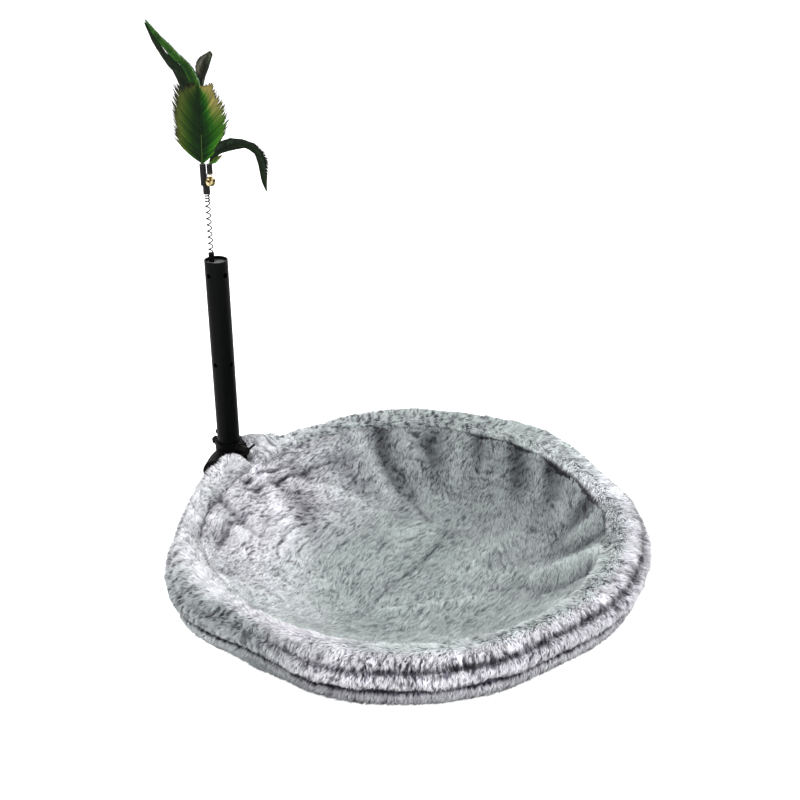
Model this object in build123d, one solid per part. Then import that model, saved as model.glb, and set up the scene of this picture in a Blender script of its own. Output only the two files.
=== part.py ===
from build123d import *
import math
import os

# A round plush cat hammock on a steel hoop, plugged into a hub that clamps an upright tube
# with a feather toy on a wire spring. All lengths are in millimetres and angles in degrees.
# The origin is the middle of the flat face that it rests on. +Z is up, and the tube stands towards +Y.

# Frame of the bed
rim_height = 72.0
hoop_radius = 198.0
hoop_diameter = 12.0
hoop_wall = 1.2
post_offset = 20.0

# Rim roll, whose outline is written in shares of its radius
roll_radius = 20.0
roll_seam_share = (-0.70, 0.28)
roll_shoulder_share = (-0.52, 0.84)
roll_crest_share = (0.0, 1.0)
roll_brow_share = (0.44, 0.89)
roll_furrow_share = (0.76, 0.60)
roll_bulge_share = (0.98, 0.16)
roll_edge_share = (0.66, -0.42)
roll_keel_share = (0.0, -0.70)
roll_heel_share = (-0.62, -0.50)

# Bowl and underside
bowl_floor_height = 22.0
bowl_floor_radius = 70.0
bowl_edge_wall = 4.0
bowl_floor_wall = 9.0
bowl_belly_wall = 12.0
base_radius = 110.0
underside_wall = 4.0
skirt_drop = 32.0
skirt_offset = 2.0
skirt_bulge_share = 0.45
layer_gap = 0.3
fold_turn_shares = (0.036, 0.083, 0.130, 0.200, 0.270, 0.345, 0.417, 0.510, 0.620, 0.735, 0.845, 0.905, 0.995)
fold_level_shares = ((1.00, 0.00, 0.010), (0.85, 0.42, 0.035), (0.62, 0.80, 0.040), (0.36, 1.00, 0.020))

# Hub
collar_diameter = 27.0
collar_rise = 23.5
collar_drop = 14.0
hub_floor = 3.0
hub_round = 3.0
arm_diameter = 26.0
arm_lift = 4.5
arm_bend = 42.0
arm_socket = 14.0
hub_clearance = 0.5
screw_diameter = 3.8
screw_length = 5.0
screw_head_diameter = 7.0
screw_head_height = 2.4
screw_seat = 0.8
slip_gap = 0.1

# Post
post_diameter = 22.0
post_wall = 1.2
post_exposed = 190.0
hole_diameter = 5.0
hole_rows = 3
hole_pitch = 91.0
clamp_height = 18.0
plug_length = 4.0
plug_recess = 3.0

# Clamp bolt, its nut, washers, and knob with a cross bar
bolt_gap = 0.08
boss_diameter = 11.0
boss_height = 1.5
washer_diameter = 10.0
washer_thickness = 1.0
nut_across = 8.0
nut_height = 5.0
knob_diameter = 8.5
knob_length = 9.0
bar_diameter = 2.2
bar_reach = 12.0
bar_tilt = 12.0
knob_clearance = 1.0

# Snap button and its leaf spring
button_diameter = 6.0
button_height = 29.0
button_proud = 5.0
button_flange_diameter = 8.0
button_flange = 1.0
leaf_thickness = 0.5
leaf_width = 5.0
leaf_height = 22.0

# Wire spring that carries the toy
spring_offset = 5.5
spring_diameter = 5.0
wire_diameter = 0.9
open_pitch = 5.9
open_turns = 8
close_pitch = 2.5
close_turns = 3
foot_diameter = 5.4
foot_rise = 5.5
quarter_turns = 4

# Toy
toy_plane_angle = -53.74
sleeve_diameter = 6.4
sleeve_length = 8.0
quill_tube_diameter = 5.8
quill_tube_length = 19.5
quill_tube_side = -2.0
wrap_diameter = 5.2
wrap_length = 9.0
wrap_side = 4.1
quill_diameter = 0.8
quill_side = 1.4
bell_diameter = 9.2
bell_wall = 0.5
bell_slot = 1.4
bell_side = 4.8
bell_forward = 4.4
bell_ring_radius = 1.9
bell_ring_wire = 0.9
bell_eye_radius = 1.25
bell_eye_wire = 0.8
bell_play = 0.05
bell_ring_height = 12.6
pellet_diameter = 3.0
vane_thickness = 0.5
stem_width = 1.0

# Feathers: sideways seat, place towards the viewer, length, and the outline in shares of that length.
# Every second point of an outline is the middle of the arc between its neighbours.
feather_shares = {
    "feather_broad": (
        (0.17, 0.14), (0.34, 0.41), (0.32, 0.71), (0.19, 1.00), (0.00, 1.02),
        (-0.19, 0.98), (-0.34, 0.64), (-0.26, 0.24), (-0.13, 0.10),
    ),
    "feather_long_green": (
        (0.019, 0.24), (0.033, 0.47), (-0.011, 0.636), (-0.098, 0.73), (-0.205, 0.841),
        (-0.303, 0.952), (-0.223, 0.803), (-0.129, 0.682), (-0.070, 0.60), (-0.027, 0.47), (-0.011, 0.24),
    ),
    "feather_long_dark": (
        (0.004, 0.30), (0.005, 0.52), (-0.076, 0.636), (-0.190, 0.735), (-0.250, 0.833),
        (-0.311, 0.939), (-0.258, 0.803), (-0.197, 0.697), (-0.090, 0.45),
    ),
    "feather_short_back": (
        (0.022, 0.35), (0.045, 0.68), (0.100, 0.82), (0.140, 0.93), (0.145, 0.962),
        (0.136, 0.99), (0.045, 0.96), (0.006, 0.88), (0.010, 0.45),
    ),
    "feather_arching": (
        (0.10, 0.113), (0.310, 0.212), (0.508, 0.203), (0.683, 0.112), (0.770, -0.133),
        (0.838, -0.428), (0.842, 0.033), (0.693, 0.313), (0.330, 0.390),
    ),
    "feather_tip": (
        (0.45, 0.10), (0.83, 0.56), (0.38, 0.42),
    ),
}
feather_lengths = {
    "feather_broad": 70.0,
    "feather_long_green": 132.0,
    "feather_long_dark": 132.0,
    "feather_short_back": 100.0,
    "feather_arching": 60.0,
    "feather_tip": 15.0,
}
feather_forward = {
    "feather_broad": 1.2,
    "feather_long_green": 0.2,
    "feather_long_dark": -0.8,
    "feather_short_back": -1.8,
    "feather_arching": 0.3,
    "feather_tip": 1.4,
}
wrap_feathers = ("feather_arching", "feather_tip")

# How far cutting bars run past what they cut
cut_overrun = 5.0

# Places and sizes worked out from the ones above
post_distance = hoop_radius + post_offset
bowl_depth = rim_height - bowl_floor_height
skirt_radius = hoop_radius + skirt_offset
post_centre = Vector(0, post_distance, 0)
post_radius = post_diameter / 2
post_bore = post_radius - post_wall
collar_top = rim_height + collar_rise
post_foot = rim_height - collar_drop + hub_floor
post_top = collar_top + post_exposed
plug_top = post_top - plug_recess
tangent_angle = math.degrees(math.acos((hoop_radius - arm_bend) / (post_distance - arm_bend)))
clamp_level = rim_height + clamp_height
button_level = rim_height + button_height
boss_face = collar_diameter / 2 + boss_height
spring_foot_top = post_top + foot_rise
toy_base = spring_foot_top + 2 * wire_diameter + open_turns * open_pitch + close_turns * close_pitch
tube_base = toy_base + sleeve_length
feather_base = tube_base + quill_tube_length
wrap_base = feather_base - wrap_length


def save(shape, name):
    """writes one piece to its own file"""
    shape.label = name
    export_step(shape, "parts/" + name + ".step")


def half_section(start, *steps):
    """face beside the Z axis from corners (radius, height); a step of two points is an arc through the first"""
    edges = []
    here = start
    for step in steps:
        through, there = step if isinstance(step[0], tuple) else (None, step)
        a = Vector(here[0], 0, here[1])
        b = Vector(there[0], 0, there[1])
        if through is None:
            edges.append(Edge.make_line(a, b))
        else:
            edges.append(Edge.make_three_point_arc(a, Vector(through[0], 0, through[1]), b))
        here = there
    edges.append(Edge.make_line(Vector(here[0], 0, here[1]), Vector(start[0], 0, start[1])))
    return Face(Wire(edges))


def spun(section):
    """the section turned once round the Z axis"""
    return revolve(section, Axis.Z, 360)


def rod(start, direction, diameter, length):
    """round bar from start along direction"""
    plane = Plane(origin=start, z_dir=direction)
    return plane * Cylinder(diameter / 2, length, align=(Align.CENTER, Align.CENTER, Align.MIN))


def on_roll(share, grow=0.0):
    """a point of the roll's outline, moved out from the roll's middle by grow"""
    size = math.hypot(*share) * roll_radius
    scale = (size + grow) / size
    return (hoop_radius + share[0] * roll_radius * scale, rim_height + share[1] * roll_radius * scale)


def roll_section(grow=0.0):
    """outline of the rim roll, with its two furrows"""
    return half_section(
        on_roll(roll_seam_share, grow),
        (on_roll(roll_shoulder_share, grow), on_roll(roll_crest_share, grow)),
        (on_roll(roll_brow_share, grow), on_roll(roll_furrow_share, grow)),
        (on_roll(roll_bulge_share, grow), on_roll(roll_edge_share, grow)),
        on_roll(roll_keel_share, grow),
        on_roll(roll_heel_share, grow),
    )


def underside_section(inset):
    """everything within the underside panel's outer face, or within its inner face if inset is its wall"""
    edge = on_roll(roll_edge_share)
    skirt = (skirt_radius - inset, rim_height - skirt_drop)
    bulge = (edge[0] - inset, skirt[1] + (edge[1] - skirt[1]) * skirt_bulge_share)
    base = (base_radius, inset)
    belly = ((skirt[0] + base[0]) / 2 + inset, (skirt[1] + base[1]) / 2 - roll_radius / 2)
    return half_section(
        (0, edge[1] - layer_gap),
        (edge[0] - inset, edge[1] - layer_gap),
        (bulge, skirt),
        (belly, base),
        (0, inset),
    )


def bowl_section(grow=0.0):
    """everything within the bowl panel's lower face"""
    seam = on_roll(roll_seam_share)
    edge = seam[0] - layer_gap + grow
    floor = rim_height - bowl_depth - bowl_floor_wall - grow
    heel = on_roll(roll_heel_share)[1]
    belly = ((edge + bowl_floor_radius) / 2 + bowl_belly_wall, (heel + floor) / 2 - bowl_belly_wall)
    return half_section(
        (0, seam[1]),
        (edge, seam[1]),
        (edge, heel),
        (belly, (bowl_floor_radius + grow, floor)),
        (0, floor),
    )


def folded_ring(radius, height, wave):
    """ring of arcs that swing out in the cloth's valleys and in on the folds between them"""
    turns = list(fold_turn_shares) + [fold_turn_shares[0] + 1]
    points = []
    for valley, following in zip(turns, turns[1:]):
        step = (following - valley) / 4
        for count, swing in enumerate((wave, 0, -wave, 0)):
            angle = math.radians(360 * (valley + count * step))
            reach = radius * (1 + swing)
            points.append(Vector(reach * math.cos(angle), reach * math.sin(angle), height))
    points = points[-1:] + points[:-1]
    edges = []
    for first in range(0, len(points), 2):
        last = points[(first + 2) % len(points)]
        edges.append(Edge.make_three_point_arc(points[first], points[first + 1], last))
    return Wire(edges)


def bowl_hollow():
    """the space inside the bowl, with the main folds of its slung cloth"""
    seam = on_roll(roll_seam_share)
    rings = []
    for radius_share, depth_share, wave_share in fold_level_shares:
        height = seam[1] - depth_share * (seam[1] - rim_height + bowl_depth)
        rings.append(folded_ring((seam[0] - bowl_edge_wall) * radius_share, height, wave_share))
    return Solid.make_loft(rings)


def arm_direction(side):
    """the way a hub arm points, along the straight end of the hoop on that side"""
    angle = math.radians(tangent_angle)
    return Vector(side * math.cos(angle), -math.sin(angle), 0)


def socket_start(side):
    """where a hub arm's bend ends and its straight socket starts"""
    angle = math.radians(tangent_angle)
    return Vector(side * arm_bend * math.sin(angle), post_distance - arm_bend * (1 - math.cos(angle)), rim_height)


def hub_envelope(grow):
    """collar and bent arms of the hub, grown all round; the arms' middle lies above the hoop's"""
    bottom = post_centre + Vector(0, 0, rim_height - collar_drop - grow)
    height = collar_drop + collar_rise + 2 * grow
    shape = rod(bottom, Vector(0, 0, 1), collar_diameter + 2 * grow, height)
    lift = Vector(0, 0, arm_lift)
    for side in (-1, 1):
        start = post_centre + Vector(0, 0, rim_height) + lift
        socket = socket_start(side) + lift
        mouth = socket + arm_direction(side) * (arm_socket + grow)
        bend = Edge.make_tangent_arc(start, Vector(side, 0, 0), socket)
        shape += round_sweep(Wire([bend, Edge.make_line(socket, mouth)]), arm_diameter + 2 * grow)
    return shape


def hoop_path():
    """centre line of the hoop, from one hub arm round to the other"""
    def on_hoop(degrees):
        turn = math.radians(degrees)
        return Vector(hoop_radius * math.sin(turn), hoop_radius * math.cos(turn), rim_height)

    quarter = (180 - tangent_angle) / 2
    right, front, left = on_hoop(tangent_angle), on_hoop(180), on_hoop(-tangent_angle)
    return Wire([
        Edge.make_line(socket_start(1) + arm_direction(1) * slip_gap, right),
        Edge.make_three_point_arc(right, on_hoop(tangent_angle + quarter), front),
        Edge.make_three_point_arc(front, on_hoop(180 + quarter), left),
        Edge.make_line(left, socket_start(-1) + arm_direction(-1) * slip_gap),
    ])


def round_sweep(path, diameter):
    """round bar along a path"""
    return sweep(Plane(origin=path @ 0, z_dir=path % 0) * Circle(diameter / 2), path=path)


def knob_room():
    """the space that the knob's bar turns in, and the way to it"""
    length = boss_face + washer_thickness + knob_length + knob_clearance
    centre = post_centre + Vector(0, 0, clamp_level)
    return rod(centre, Vector(0, -1, 0), 2 * (bar_reach + knob_clearance), length)


def bed():
    """hoop, rim roll, bowl panel, padding and underside panel"""
    path = hoop_path()
    bore = hoop_diameter - 2 * hoop_wall
    hoop = round_sweep(path, hoop_diameter) - round_sweep(path, bore)
    channel = round_sweep(path, hoop_diameter + 2 * layer_gap)
    pocket = hub_envelope(hub_clearance) + knob_room() + nut_room()
    for side in (-1, 1):
        hoop -= screw(side, slip_gap)
        pocket += screw(side, hub_clearance)
    save(hoop, "hoop_tube")

    panel = spun(bowl_section()) - bowl_hollow() - pocket
    save(panel, "bowl_panel")

    roll = spun(roll_section()) - channel - pocket
    save(roll.solids().sort_by(SortBy.VOLUME)[-1], "rim_roll")

    shell = spun(underside_section(0)) - spun(underside_section(underside_wall)) - pocket
    save(shell.solids().sort_by(SortBy.VOLUME)[-1], "underside_panel")

    filling = spun(underside_section(underside_wall + layer_gap))
    filling -= spun(bowl_section(layer_gap))
    filling -= spun(roll_section(layer_gap))
    filling -= pocket
    save(filling.solids().sort_by(SortBy.VOLUME)[-1], "bowl_padding")


def screw(side, grow=0.0):
    """a hub screw, from below through an arm into the hoop's end, grown all round"""
    head_face = rim_height + arm_lift - arm_diameter / 2 + screw_seat
    centre = socket_start(side) + arm_direction(side) * (arm_socket / 2)
    centre.Z = head_face
    up = Vector(0, 0, 1)
    shank = rod(centre, up, screw_diameter + 2 * grow, screw_length + grow)
    head = centre - up * (screw_head_height + grow)
    return shank + rod(head, up, screw_head_diameter + 2 * grow, screw_head_height + grow)


def nut_room():
    """the space round the nut, outside the collar"""
    length = boss_face + washer_thickness + nut_height + knob_clearance
    centre = post_centre + Vector(0, 0, clamp_level)
    return rod(centre, Vector(0, 1, 0), boss_diameter + 2 * knob_clearance, length)


def hub():
    """moulded hub: collar for the post, two arms for the hoop's ends, and bosses for the clamp bolt"""
    up = Vector(0, 0, 1)
    shape = hub_envelope(0)
    rim_edges = shape.edges().filter_by(GeomType.CIRCLE).group_by(Axis.Z)
    shape = fillet(rim_edges[0], hub_round)
    start = post_centre + Vector(0, -boss_face, clamp_level)
    shape += rod(start, Vector(0, 1, 0), boss_diameter, 2 * boss_face)
    shape -= rod(post_centre + up * post_foot, up, post_diameter + 2 * slip_gap, collar_top)
    for side in (-1, 1):
        way = arm_direction(side)
        shape -= rod(socket_start(side), way, hoop_diameter + 2 * slip_gap, arm_socket + cut_overrun)
        shape -= screw(side, slip_gap)
    shape -= rod(start - Vector(0, cut_overrun, 0), Vector(0, 1, 0), hole_diameter, 2 * (boss_face + cut_overrun))
    save(shape, "hub")
    save(Compound(children=[Part(screw(side).wrapped) for side in (-1, 1)]), "hoop_screws")


def post():
    """upright tube with rows of cross holes, its end plug and the spring's foot"""
    up = Vector(0, 0, 1)
    length = post_top - post_foot
    shape = rod(post_centre + up * post_foot, up, post_diameter, length)
    shape -= rod(post_centre + up * (post_foot - cut_overrun), up, 2 * post_bore, length + 2 * cut_overrun)
    for row in range(hole_rows):
        level = clamp_level + row * hole_pitch
        for way in (Vector(1, 0, 0), Vector(0, 1, 0)):
            start = post_centre + up * level - way * post_diameter
            shape -= rod(start, way, hole_diameter, 2 * post_diameter)
    shape -= rod(post_centre + up * button_level, Vector(0, 1, 0), button_diameter + 2 * bolt_gap, post_diameter)
    save(shape, "post_tube")

    foot_centre = post_centre + Vector(0, spring_offset, plug_top - plug_length)
    foot_length = plug_length + plug_recess + foot_rise
    plug = rod(post_centre + up * (plug_top - plug_length), up, 2 * (post_bore - slip_gap), plug_length)
    plug -= rod(foot_centre - up * cut_overrun, up, foot_diameter + 2 * slip_gap, foot_length)
    save(plug, "post_plug")
    save(rod(foot_centre, up, foot_diameter, foot_length), "spring_foot")


def clamp():
    """bolt through the hub's collar and the post, with a nut outside and a barred knob inside"""
    out = Vector(0, 1, 0)
    centre = post_centre + Vector(0, 0, clamp_level)
    bolt_diameter = hole_diameter - 2 * bolt_gap
    seat = boss_face + washer_thickness
    grip = knob_length * 2 / 3
    bolt_length = 2 * seat + grip + nut_height - wire_diameter
    save(rod(centre - out * (seat + grip), out, bolt_diameter, bolt_length), "clamp_bolt")

    washers = []
    for way in (out, -out):
        washer = rod(centre + way * boss_face, way, washer_diameter, washer_thickness)
        washers.append(washer - rod(centre + way * boss_face, way, hole_diameter, washer_thickness))
    save(Compound(children=[Part(one.wrapped) for one in washers]), "clamp_washers")

    nut_plane = Plane(origin=centre + out * seat, z_dir=out)
    nut = nut_plane * extrude(RegularPolygon(nut_across / 2, 6, major_radius=False), nut_height * 2 / 3)
    nut += nut_plane * Pos(0, 0, nut_height * 2 / 3) * Cone(
        nut_across / 2, nut_across / 4, nut_height / 3 + wire_diameter,
        align=(Align.CENTER, Align.CENTER, Align.MIN),
    )
    nut -= rod(centre, out, hole_diameter, seat + nut_height - wire_diameter + slip_gap)
    save(nut, "clamp_nut")

    knob_plane = Plane(origin=centre - out * seat, x_dir=(1, 0, 0), z_dir=-out)
    barrel = Cylinder(knob_diameter / 2, knob_length, align=(Align.CENTER, Align.CENTER, Align.MIN))
    barrel = fillet(barrel.edges().sort_by(Axis.Z)[-1], knob_diameter / 8)
    bar = Cylinder(bar_diameter / 2, 2 * bar_reach, rotation=(0, 90, 0))
    knob = knob_plane * (barrel + Pos(0, 0, (grip + knob_length) / 2) * Rot(0, 0, bar_tilt) * bar)
    knob -= rod(centre, -out, bolt_diameter, seat + grip)
    save(knob, "clamp_knob")


def snap_button():
    """round button through the post's wall, held out by a leaf spring bent inside the tube"""
    out = Vector(0, 1, 0)
    centre = post_centre + Vector(0, 0, button_level)
    flange_face = math.sqrt(post_bore**2 - (button_flange_diameter / 2) ** 2) - slip_gap
    stem = Cylinder(
        button_diameter / 2, post_radius + button_proud - flange_face,
        align=(Align.CENTER, Align.CENTER, Align.MIN),
    )
    stem = fillet(stem.edges().sort_by(Axis.Z)[-1], button_diameter / 3)
    button = Plane(origin=centre + out * flange_face, z_dir=out) * stem
    button += rod(centre + out * (flange_face - button_flange), out, button_flange_diameter, button_flange)
    save(button, "snap_button")

    front = flange_face - button_flange
    back = -math.sqrt(post_bore**2 - (leaf_width / 2) ** 2) + slip_gap
    low = button_level - button_flange_diameter / 2
    high = low + leaf_height
    bend_radius = (front - back) / 2
    middle = (front + back) / 2
    outer = [
        Edge.make_line((0, front, low), (0, front, high)),
        Edge.make_three_point_arc((0, front, high), (0, middle, high + bend_radius), (0, back, high)),
        Edge.make_line((0, back, high), (0, back, low)),
    ]
    inner_front = front - leaf_thickness
    inner_back = back + leaf_thickness
    crown = high + bend_radius - leaf_thickness
    inner = [
        Edge.make_line((0, back, low), (0, inner_back, low)),
        Edge.make_line((0, inner_back, low), (0, inner_back, high)),
        Edge.make_three_point_arc((0, inner_back, high), (0, middle, crown), (0, inner_front, high)),
        Edge.make_line((0, inner_front, high), (0, inner_front, low)),
        Edge.make_line((0, inner_front, low), (0, front, low)),
    ]
    leaf = extrude(Face(Wire(outer + inner)), leaf_width / 2, dir=(1, 0, 0), both=True)
    save(Pos(post_centre) * leaf, "button_leaf_spring")


def biarc(start, start_way, end, end_way):
    """two arcs that leave start and reach end along the given directions"""
    chord = end - start
    total = start_way + end_way
    spread = 2 * (1 - start_way.dot(end_way))
    along = chord.dot(total)
    reach = (math.sqrt(along**2 + spread * chord.dot(chord)) - along) / spread
    join = (start + end + (start_way - end_way) * reach) / 2
    join_way = (end - end_way * reach - start - start_way * reach).normalized()
    return [
        Edge.make_tangent_arc(start, start_way, join),
        Edge.make_tangent_arc(join, join_way, end),
    ]


def teaser_spring():
    """wire spring under the toy: open turns, then close ones, with straight ends along its axis"""
    coil_radius = (spring_diameter - wire_diameter) / 2
    up = Vector(0, 0, 1)
    axis = post_centre + up * spring_foot_top + Vector(0, spring_offset, 0)
    steps = []
    for turns, pitch in ((open_turns, open_pitch), (close_turns, close_pitch)):
        steps += [pitch / quarter_turns] * (turns * quarter_turns)

    def place(quarter, height):
        angle = math.radians(90 * quarter)
        return axis + Vector(coil_radius * math.cos(angle), coil_radius * math.sin(angle), height)

    def heading(quarter, rise):
        angle = math.radians(90 * quarter)
        flat = Vector(-math.sin(angle), math.cos(angle), 0) * (coil_radius * math.pi / 2)
        return (flat + up * rise).normalized()

    height = wire_diameter
    start = place(0, 0)
    edges = [Edge.make_line(start, place(0, height))]
    here, way = place(0, height), up
    for count, rise in enumerate(steps):
        height += rise
        following = steps[count + 1] if count + 1 < len(steps) else rise
        last = count + 1 == len(steps)
        next_way = up if last else heading(count + 1, (rise + following) / 2)
        there = place(count + 1, height)
        edges += biarc(here, way, there, next_way)
        here, way = there, next_way
    end = here + up * wire_diameter
    edges.append(Edge.make_line(here, end))
    path = Wire(edges)
    spring = sweep(Plane(origin=start, z_dir=up) * Circle(wire_diameter / 2), path=path)

    samples = 40 * len(steps)
    points = [path.position_at(number / samples) for number in range(samples + 1)]
    apart = int(samples / len(steps) * quarter_turns / 2)
    gap = min(
        (points[first] - points[second]).length
        for first in range(0, samples, 4)
        for second in range(first + apart, samples + 1, 2)
    )
    print("teaser_spring: least gap to itself", round(gap - wire_diameter, 3), "mm")
    print("teaser_spring: volume against section times length",
          round(spring.volume / (path.length * math.pi * wire_diameter**2 / 4), 4))
    save(spring, "teaser_spring")


def toy_plane(height, side=0.0, forward=0.0):
    """plane of the toy: x to its right, y up and z towards the viewer"""
    angle = math.radians(toy_plane_angle)
    right = Vector(math.cos(angle), math.sin(angle), 0)
    facing = Vector(math.sin(angle), -math.cos(angle), 0)
    origin = post_centre + Vector(0, spring_offset, height) + right * side + facing * forward
    return Plane(origin=origin, x_dir=right, z_dir=facing)


def upright(height, side, forward, diameter, length):
    """round piece of the toy, standing at a place in its plane"""
    return rod(toy_plane(height, side, forward).origin, Vector(0, 0, 1), diameter, length)


def toy():
    """sleeve, quill tube, wrap, bell and feathers"""
    save(upright(toy_base, 0, 0, sleeve_diameter, sleeve_length), "toy_sleeve")
    save(upright(tube_base, quill_tube_side, 0, quill_tube_diameter, quill_tube_length), "quill_tube")
    save(upright(tube_base, quill_side, 0, quill_diameter, quill_tube_length - wrap_length), "side_quill")

    ring_level = tube_base + bell_ring_height
    ring_plane = toy_plane(ring_level, bell_side, bell_forward)
    ring = Plane(origin=ring_plane.origin, z_dir=ring_plane.x_dir) * Torus(bell_ring_radius, bell_ring_wire / 2)
    wrap = upright(wrap_base, wrap_side, 0, wrap_diameter, wrap_length)
    save(wrap + ring, "side_wrap")

    hang = bell_eye_radius - bell_eye_wire / 2 - bell_ring_wire / 2 - bell_play
    eye_level = ring_level - bell_ring_radius - hang
    bell_radius = bell_diameter / 2
    bell_level = eye_level - bell_eye_radius - bell_radius
    bell_plane = toy_plane(bell_level, bell_side, bell_forward)
    eye = toy_plane(eye_level, bell_side, bell_forward) * Torus(bell_eye_radius, bell_eye_wire / 2)
    shell = bell_plane * Sphere(bell_radius)
    hollow = bell_plane * Sphere(bell_radius - bell_wall)
    shell = shell + eye
    shell -= hollow
    slot_depth = bell_radius
    for wide, deep in ((bell_diameter, bell_slot), (bell_slot, bell_diameter)):
        shell -= bell_plane * Pos(0, -slot_depth, 0) * Box(wide, bell_radius, deep)
    save(shell, "bell_shell")
    pellet_level = bell_level - bell_radius + bell_wall + pellet_diameter / 2 + bell_play
    save(Pos(toy_plane(pellet_level, bell_side, bell_forward).origin) * Sphere(pellet_diameter / 2), "bell_pellet")

    for name, outline in feather_shares.items():
        side = wrap_side if name in wrap_feathers else quill_tube_side
        save(feather(outline, feather_lengths[name], side, feather_forward[name]), name)


def feather(outline, length, side, forward):
    """flat vane whose stem stands on the top of its tube"""
    points = [Vector(stem_width / 2, 0)]
    for share in outline:
        points.append(Vector(share[0] * length, share[1] * length))
    points.append(Vector(-stem_width / 2, 0))
    edges = []
    for number in range(0, len(points) - 1, 2):
        edges.append(Edge.make_three_point_arc(*points[number:number + 3]))
    edges.append(Edge.make_line(points[-1], points[0]))
    blade = extrude(Face(Wire(edges)), vane_thickness / 2, both=True)
    return toy_plane(feather_base, side, forward) * blade


bed()
hub()
post()
clamp()
snap_button()
teaser_spring()
toy()
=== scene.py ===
import math
from functools import partial

import bpy
import numpy as np
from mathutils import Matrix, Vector


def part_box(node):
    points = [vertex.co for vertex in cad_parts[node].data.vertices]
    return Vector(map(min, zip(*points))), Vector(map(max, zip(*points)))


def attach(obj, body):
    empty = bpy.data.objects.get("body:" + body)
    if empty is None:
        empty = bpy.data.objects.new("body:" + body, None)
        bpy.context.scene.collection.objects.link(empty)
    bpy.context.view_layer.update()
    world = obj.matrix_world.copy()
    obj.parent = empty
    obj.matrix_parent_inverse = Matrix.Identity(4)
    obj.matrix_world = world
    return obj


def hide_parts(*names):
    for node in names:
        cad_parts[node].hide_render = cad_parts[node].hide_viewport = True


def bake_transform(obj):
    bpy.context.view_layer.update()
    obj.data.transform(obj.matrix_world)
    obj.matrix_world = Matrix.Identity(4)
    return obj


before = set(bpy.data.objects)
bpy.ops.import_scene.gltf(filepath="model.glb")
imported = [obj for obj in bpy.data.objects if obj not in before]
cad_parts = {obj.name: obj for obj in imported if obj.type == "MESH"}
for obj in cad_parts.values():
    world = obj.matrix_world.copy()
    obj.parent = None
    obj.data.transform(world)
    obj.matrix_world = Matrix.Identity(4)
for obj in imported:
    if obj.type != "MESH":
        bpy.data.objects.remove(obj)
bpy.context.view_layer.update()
bpy.ops.object.select_all(action="DESELECT")

# Metres
RIM = 0.072  # height of the hoop's middle
POST_Y = 0.218  # the post's axis
WIRE_Y = POST_Y + 0.0055  # the wire spring's axis
BLADE = 0.0062  # length of a blade of the pile inside the bowl and on the crest
SIDE_BLADE = 0.0056  # the same on the rim's side and the outer band
# Millimetres
SEAM = 184.0  # mean radius of the seam between bowl and rim
ROLL = 199.0  # mean radius of the rim's roll
CLOTH = 3.0  # thickness of the bowl's and the outside's cloth


# Camera, light and floor
scene = bpy.context.scene
scene.view_settings.view_transform = "Standard"

camera_back = Vector((-0.72240, -0.52997, 0.44415)).to_track_quat("Z", "Y")
bpy.ops.object.camera_add(location=(-0.75452, -0.54768, 0.66598), rotation=camera_back.to_euler())
scene.camera = bpy.context.object
scene.camera.data.lens = 54.24
scene.camera.data.sensor_width = 36.0

# Soft square lamps that face a point: place, point, side in metres, watts and colour
for name, place, target, size, power, tint in (
    ("key_lamp", (-0.9, 0.3, 1.5), (0.0, 0.05, 0.1), 0.7, 21.0, (1.0, 0.985, 0.97)),
    ("fill_lamp", (-0.5, -1.5, 1.0), (0.0, 0.0, 0.1), 1.2, 8.0, (0.97, 0.985, 1.0)),
    ("back_lamp", (1.4, 0.7, 1.2), (0.0, 0.0, 0.1), 1.2, 9.0, (1.0, 1.0, 1.0)),
):
    way = (Vector(place) - Vector(target)).to_track_quat("Z", "Y")
    bpy.ops.object.light_add(type="AREA", location=place, rotation=way.to_euler())
    light = bpy.context.object
    light.name = name
    light.data.size, light.data.energy, light.data.color = size, power, tint


def linear(code):
    """linear colour of an sRGB hex value"""
    parts = [int(code[k:k + 2], 16) / 255 for k in (1, 3, 5)]
    return [c / 12.92 if c <= 0.04045 else ((c + 0.055) / 1.055) ** 2.4 for c in parts] + [1.0]


def add_to(tree, kind, inputs=None, stops=None, **settings):
    """one node with its settings, its inputs as values or as (node, output), and a ramp's places and hex colours"""
    node = tree.nodes.new("ShaderNode" + kind)
    for name, value in settings.items():
        setattr(node, name, value)
    for name, value in (inputs or {}).items():
        if isinstance(value, tuple):
            tree.links.new(value[0].outputs[value[1]], node.inputs[name])
        else:
            node.inputs[name].default_value = value
    if stops:
        band = node.color_ramp.elements
        for _ in range(len(stops) - 2):
            band.new(0.5)
        for element, (place, code) in zip(band, stops.items()):
            element.position, element.color = place, linear(code)
    return node


def empty(kind, name):
    """new material or world, and the function that adds nodes to its empty tree"""
    made = getattr(bpy.data, kind).new(name)
    made.use_nodes = True
    made.node_tree.nodes.clear()
    return made, partial(add_to, made.node_tree)


# White surroundings that the camera, gloss and clear things see, with plain grey light on the object
scene.world, add = empty("worlds", "studio")
path = add("LightPath")
seen = add("Math", {0: (path, "Is Camera Ray"), 1: (path, "Is Glossy Ray")}, operation="MAXIMUM")
seen = add("Math", {0: (seen, 0), 1: (path, "Is Transmission Ray")}, operation="MAXIMUM")
lit = add("Background", {"Color": linear("#ffffff"), "Strength": 0.50})
white = add("Background", {"Color": linear("#ffffff"), "Strength": 1.0})
mixed = add("MixShader", {0: (seen, 0), 1: (lit, 0), 2: (white, 0)})
add("OutputWorld", {"Surface": (mixed, 0)})

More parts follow.
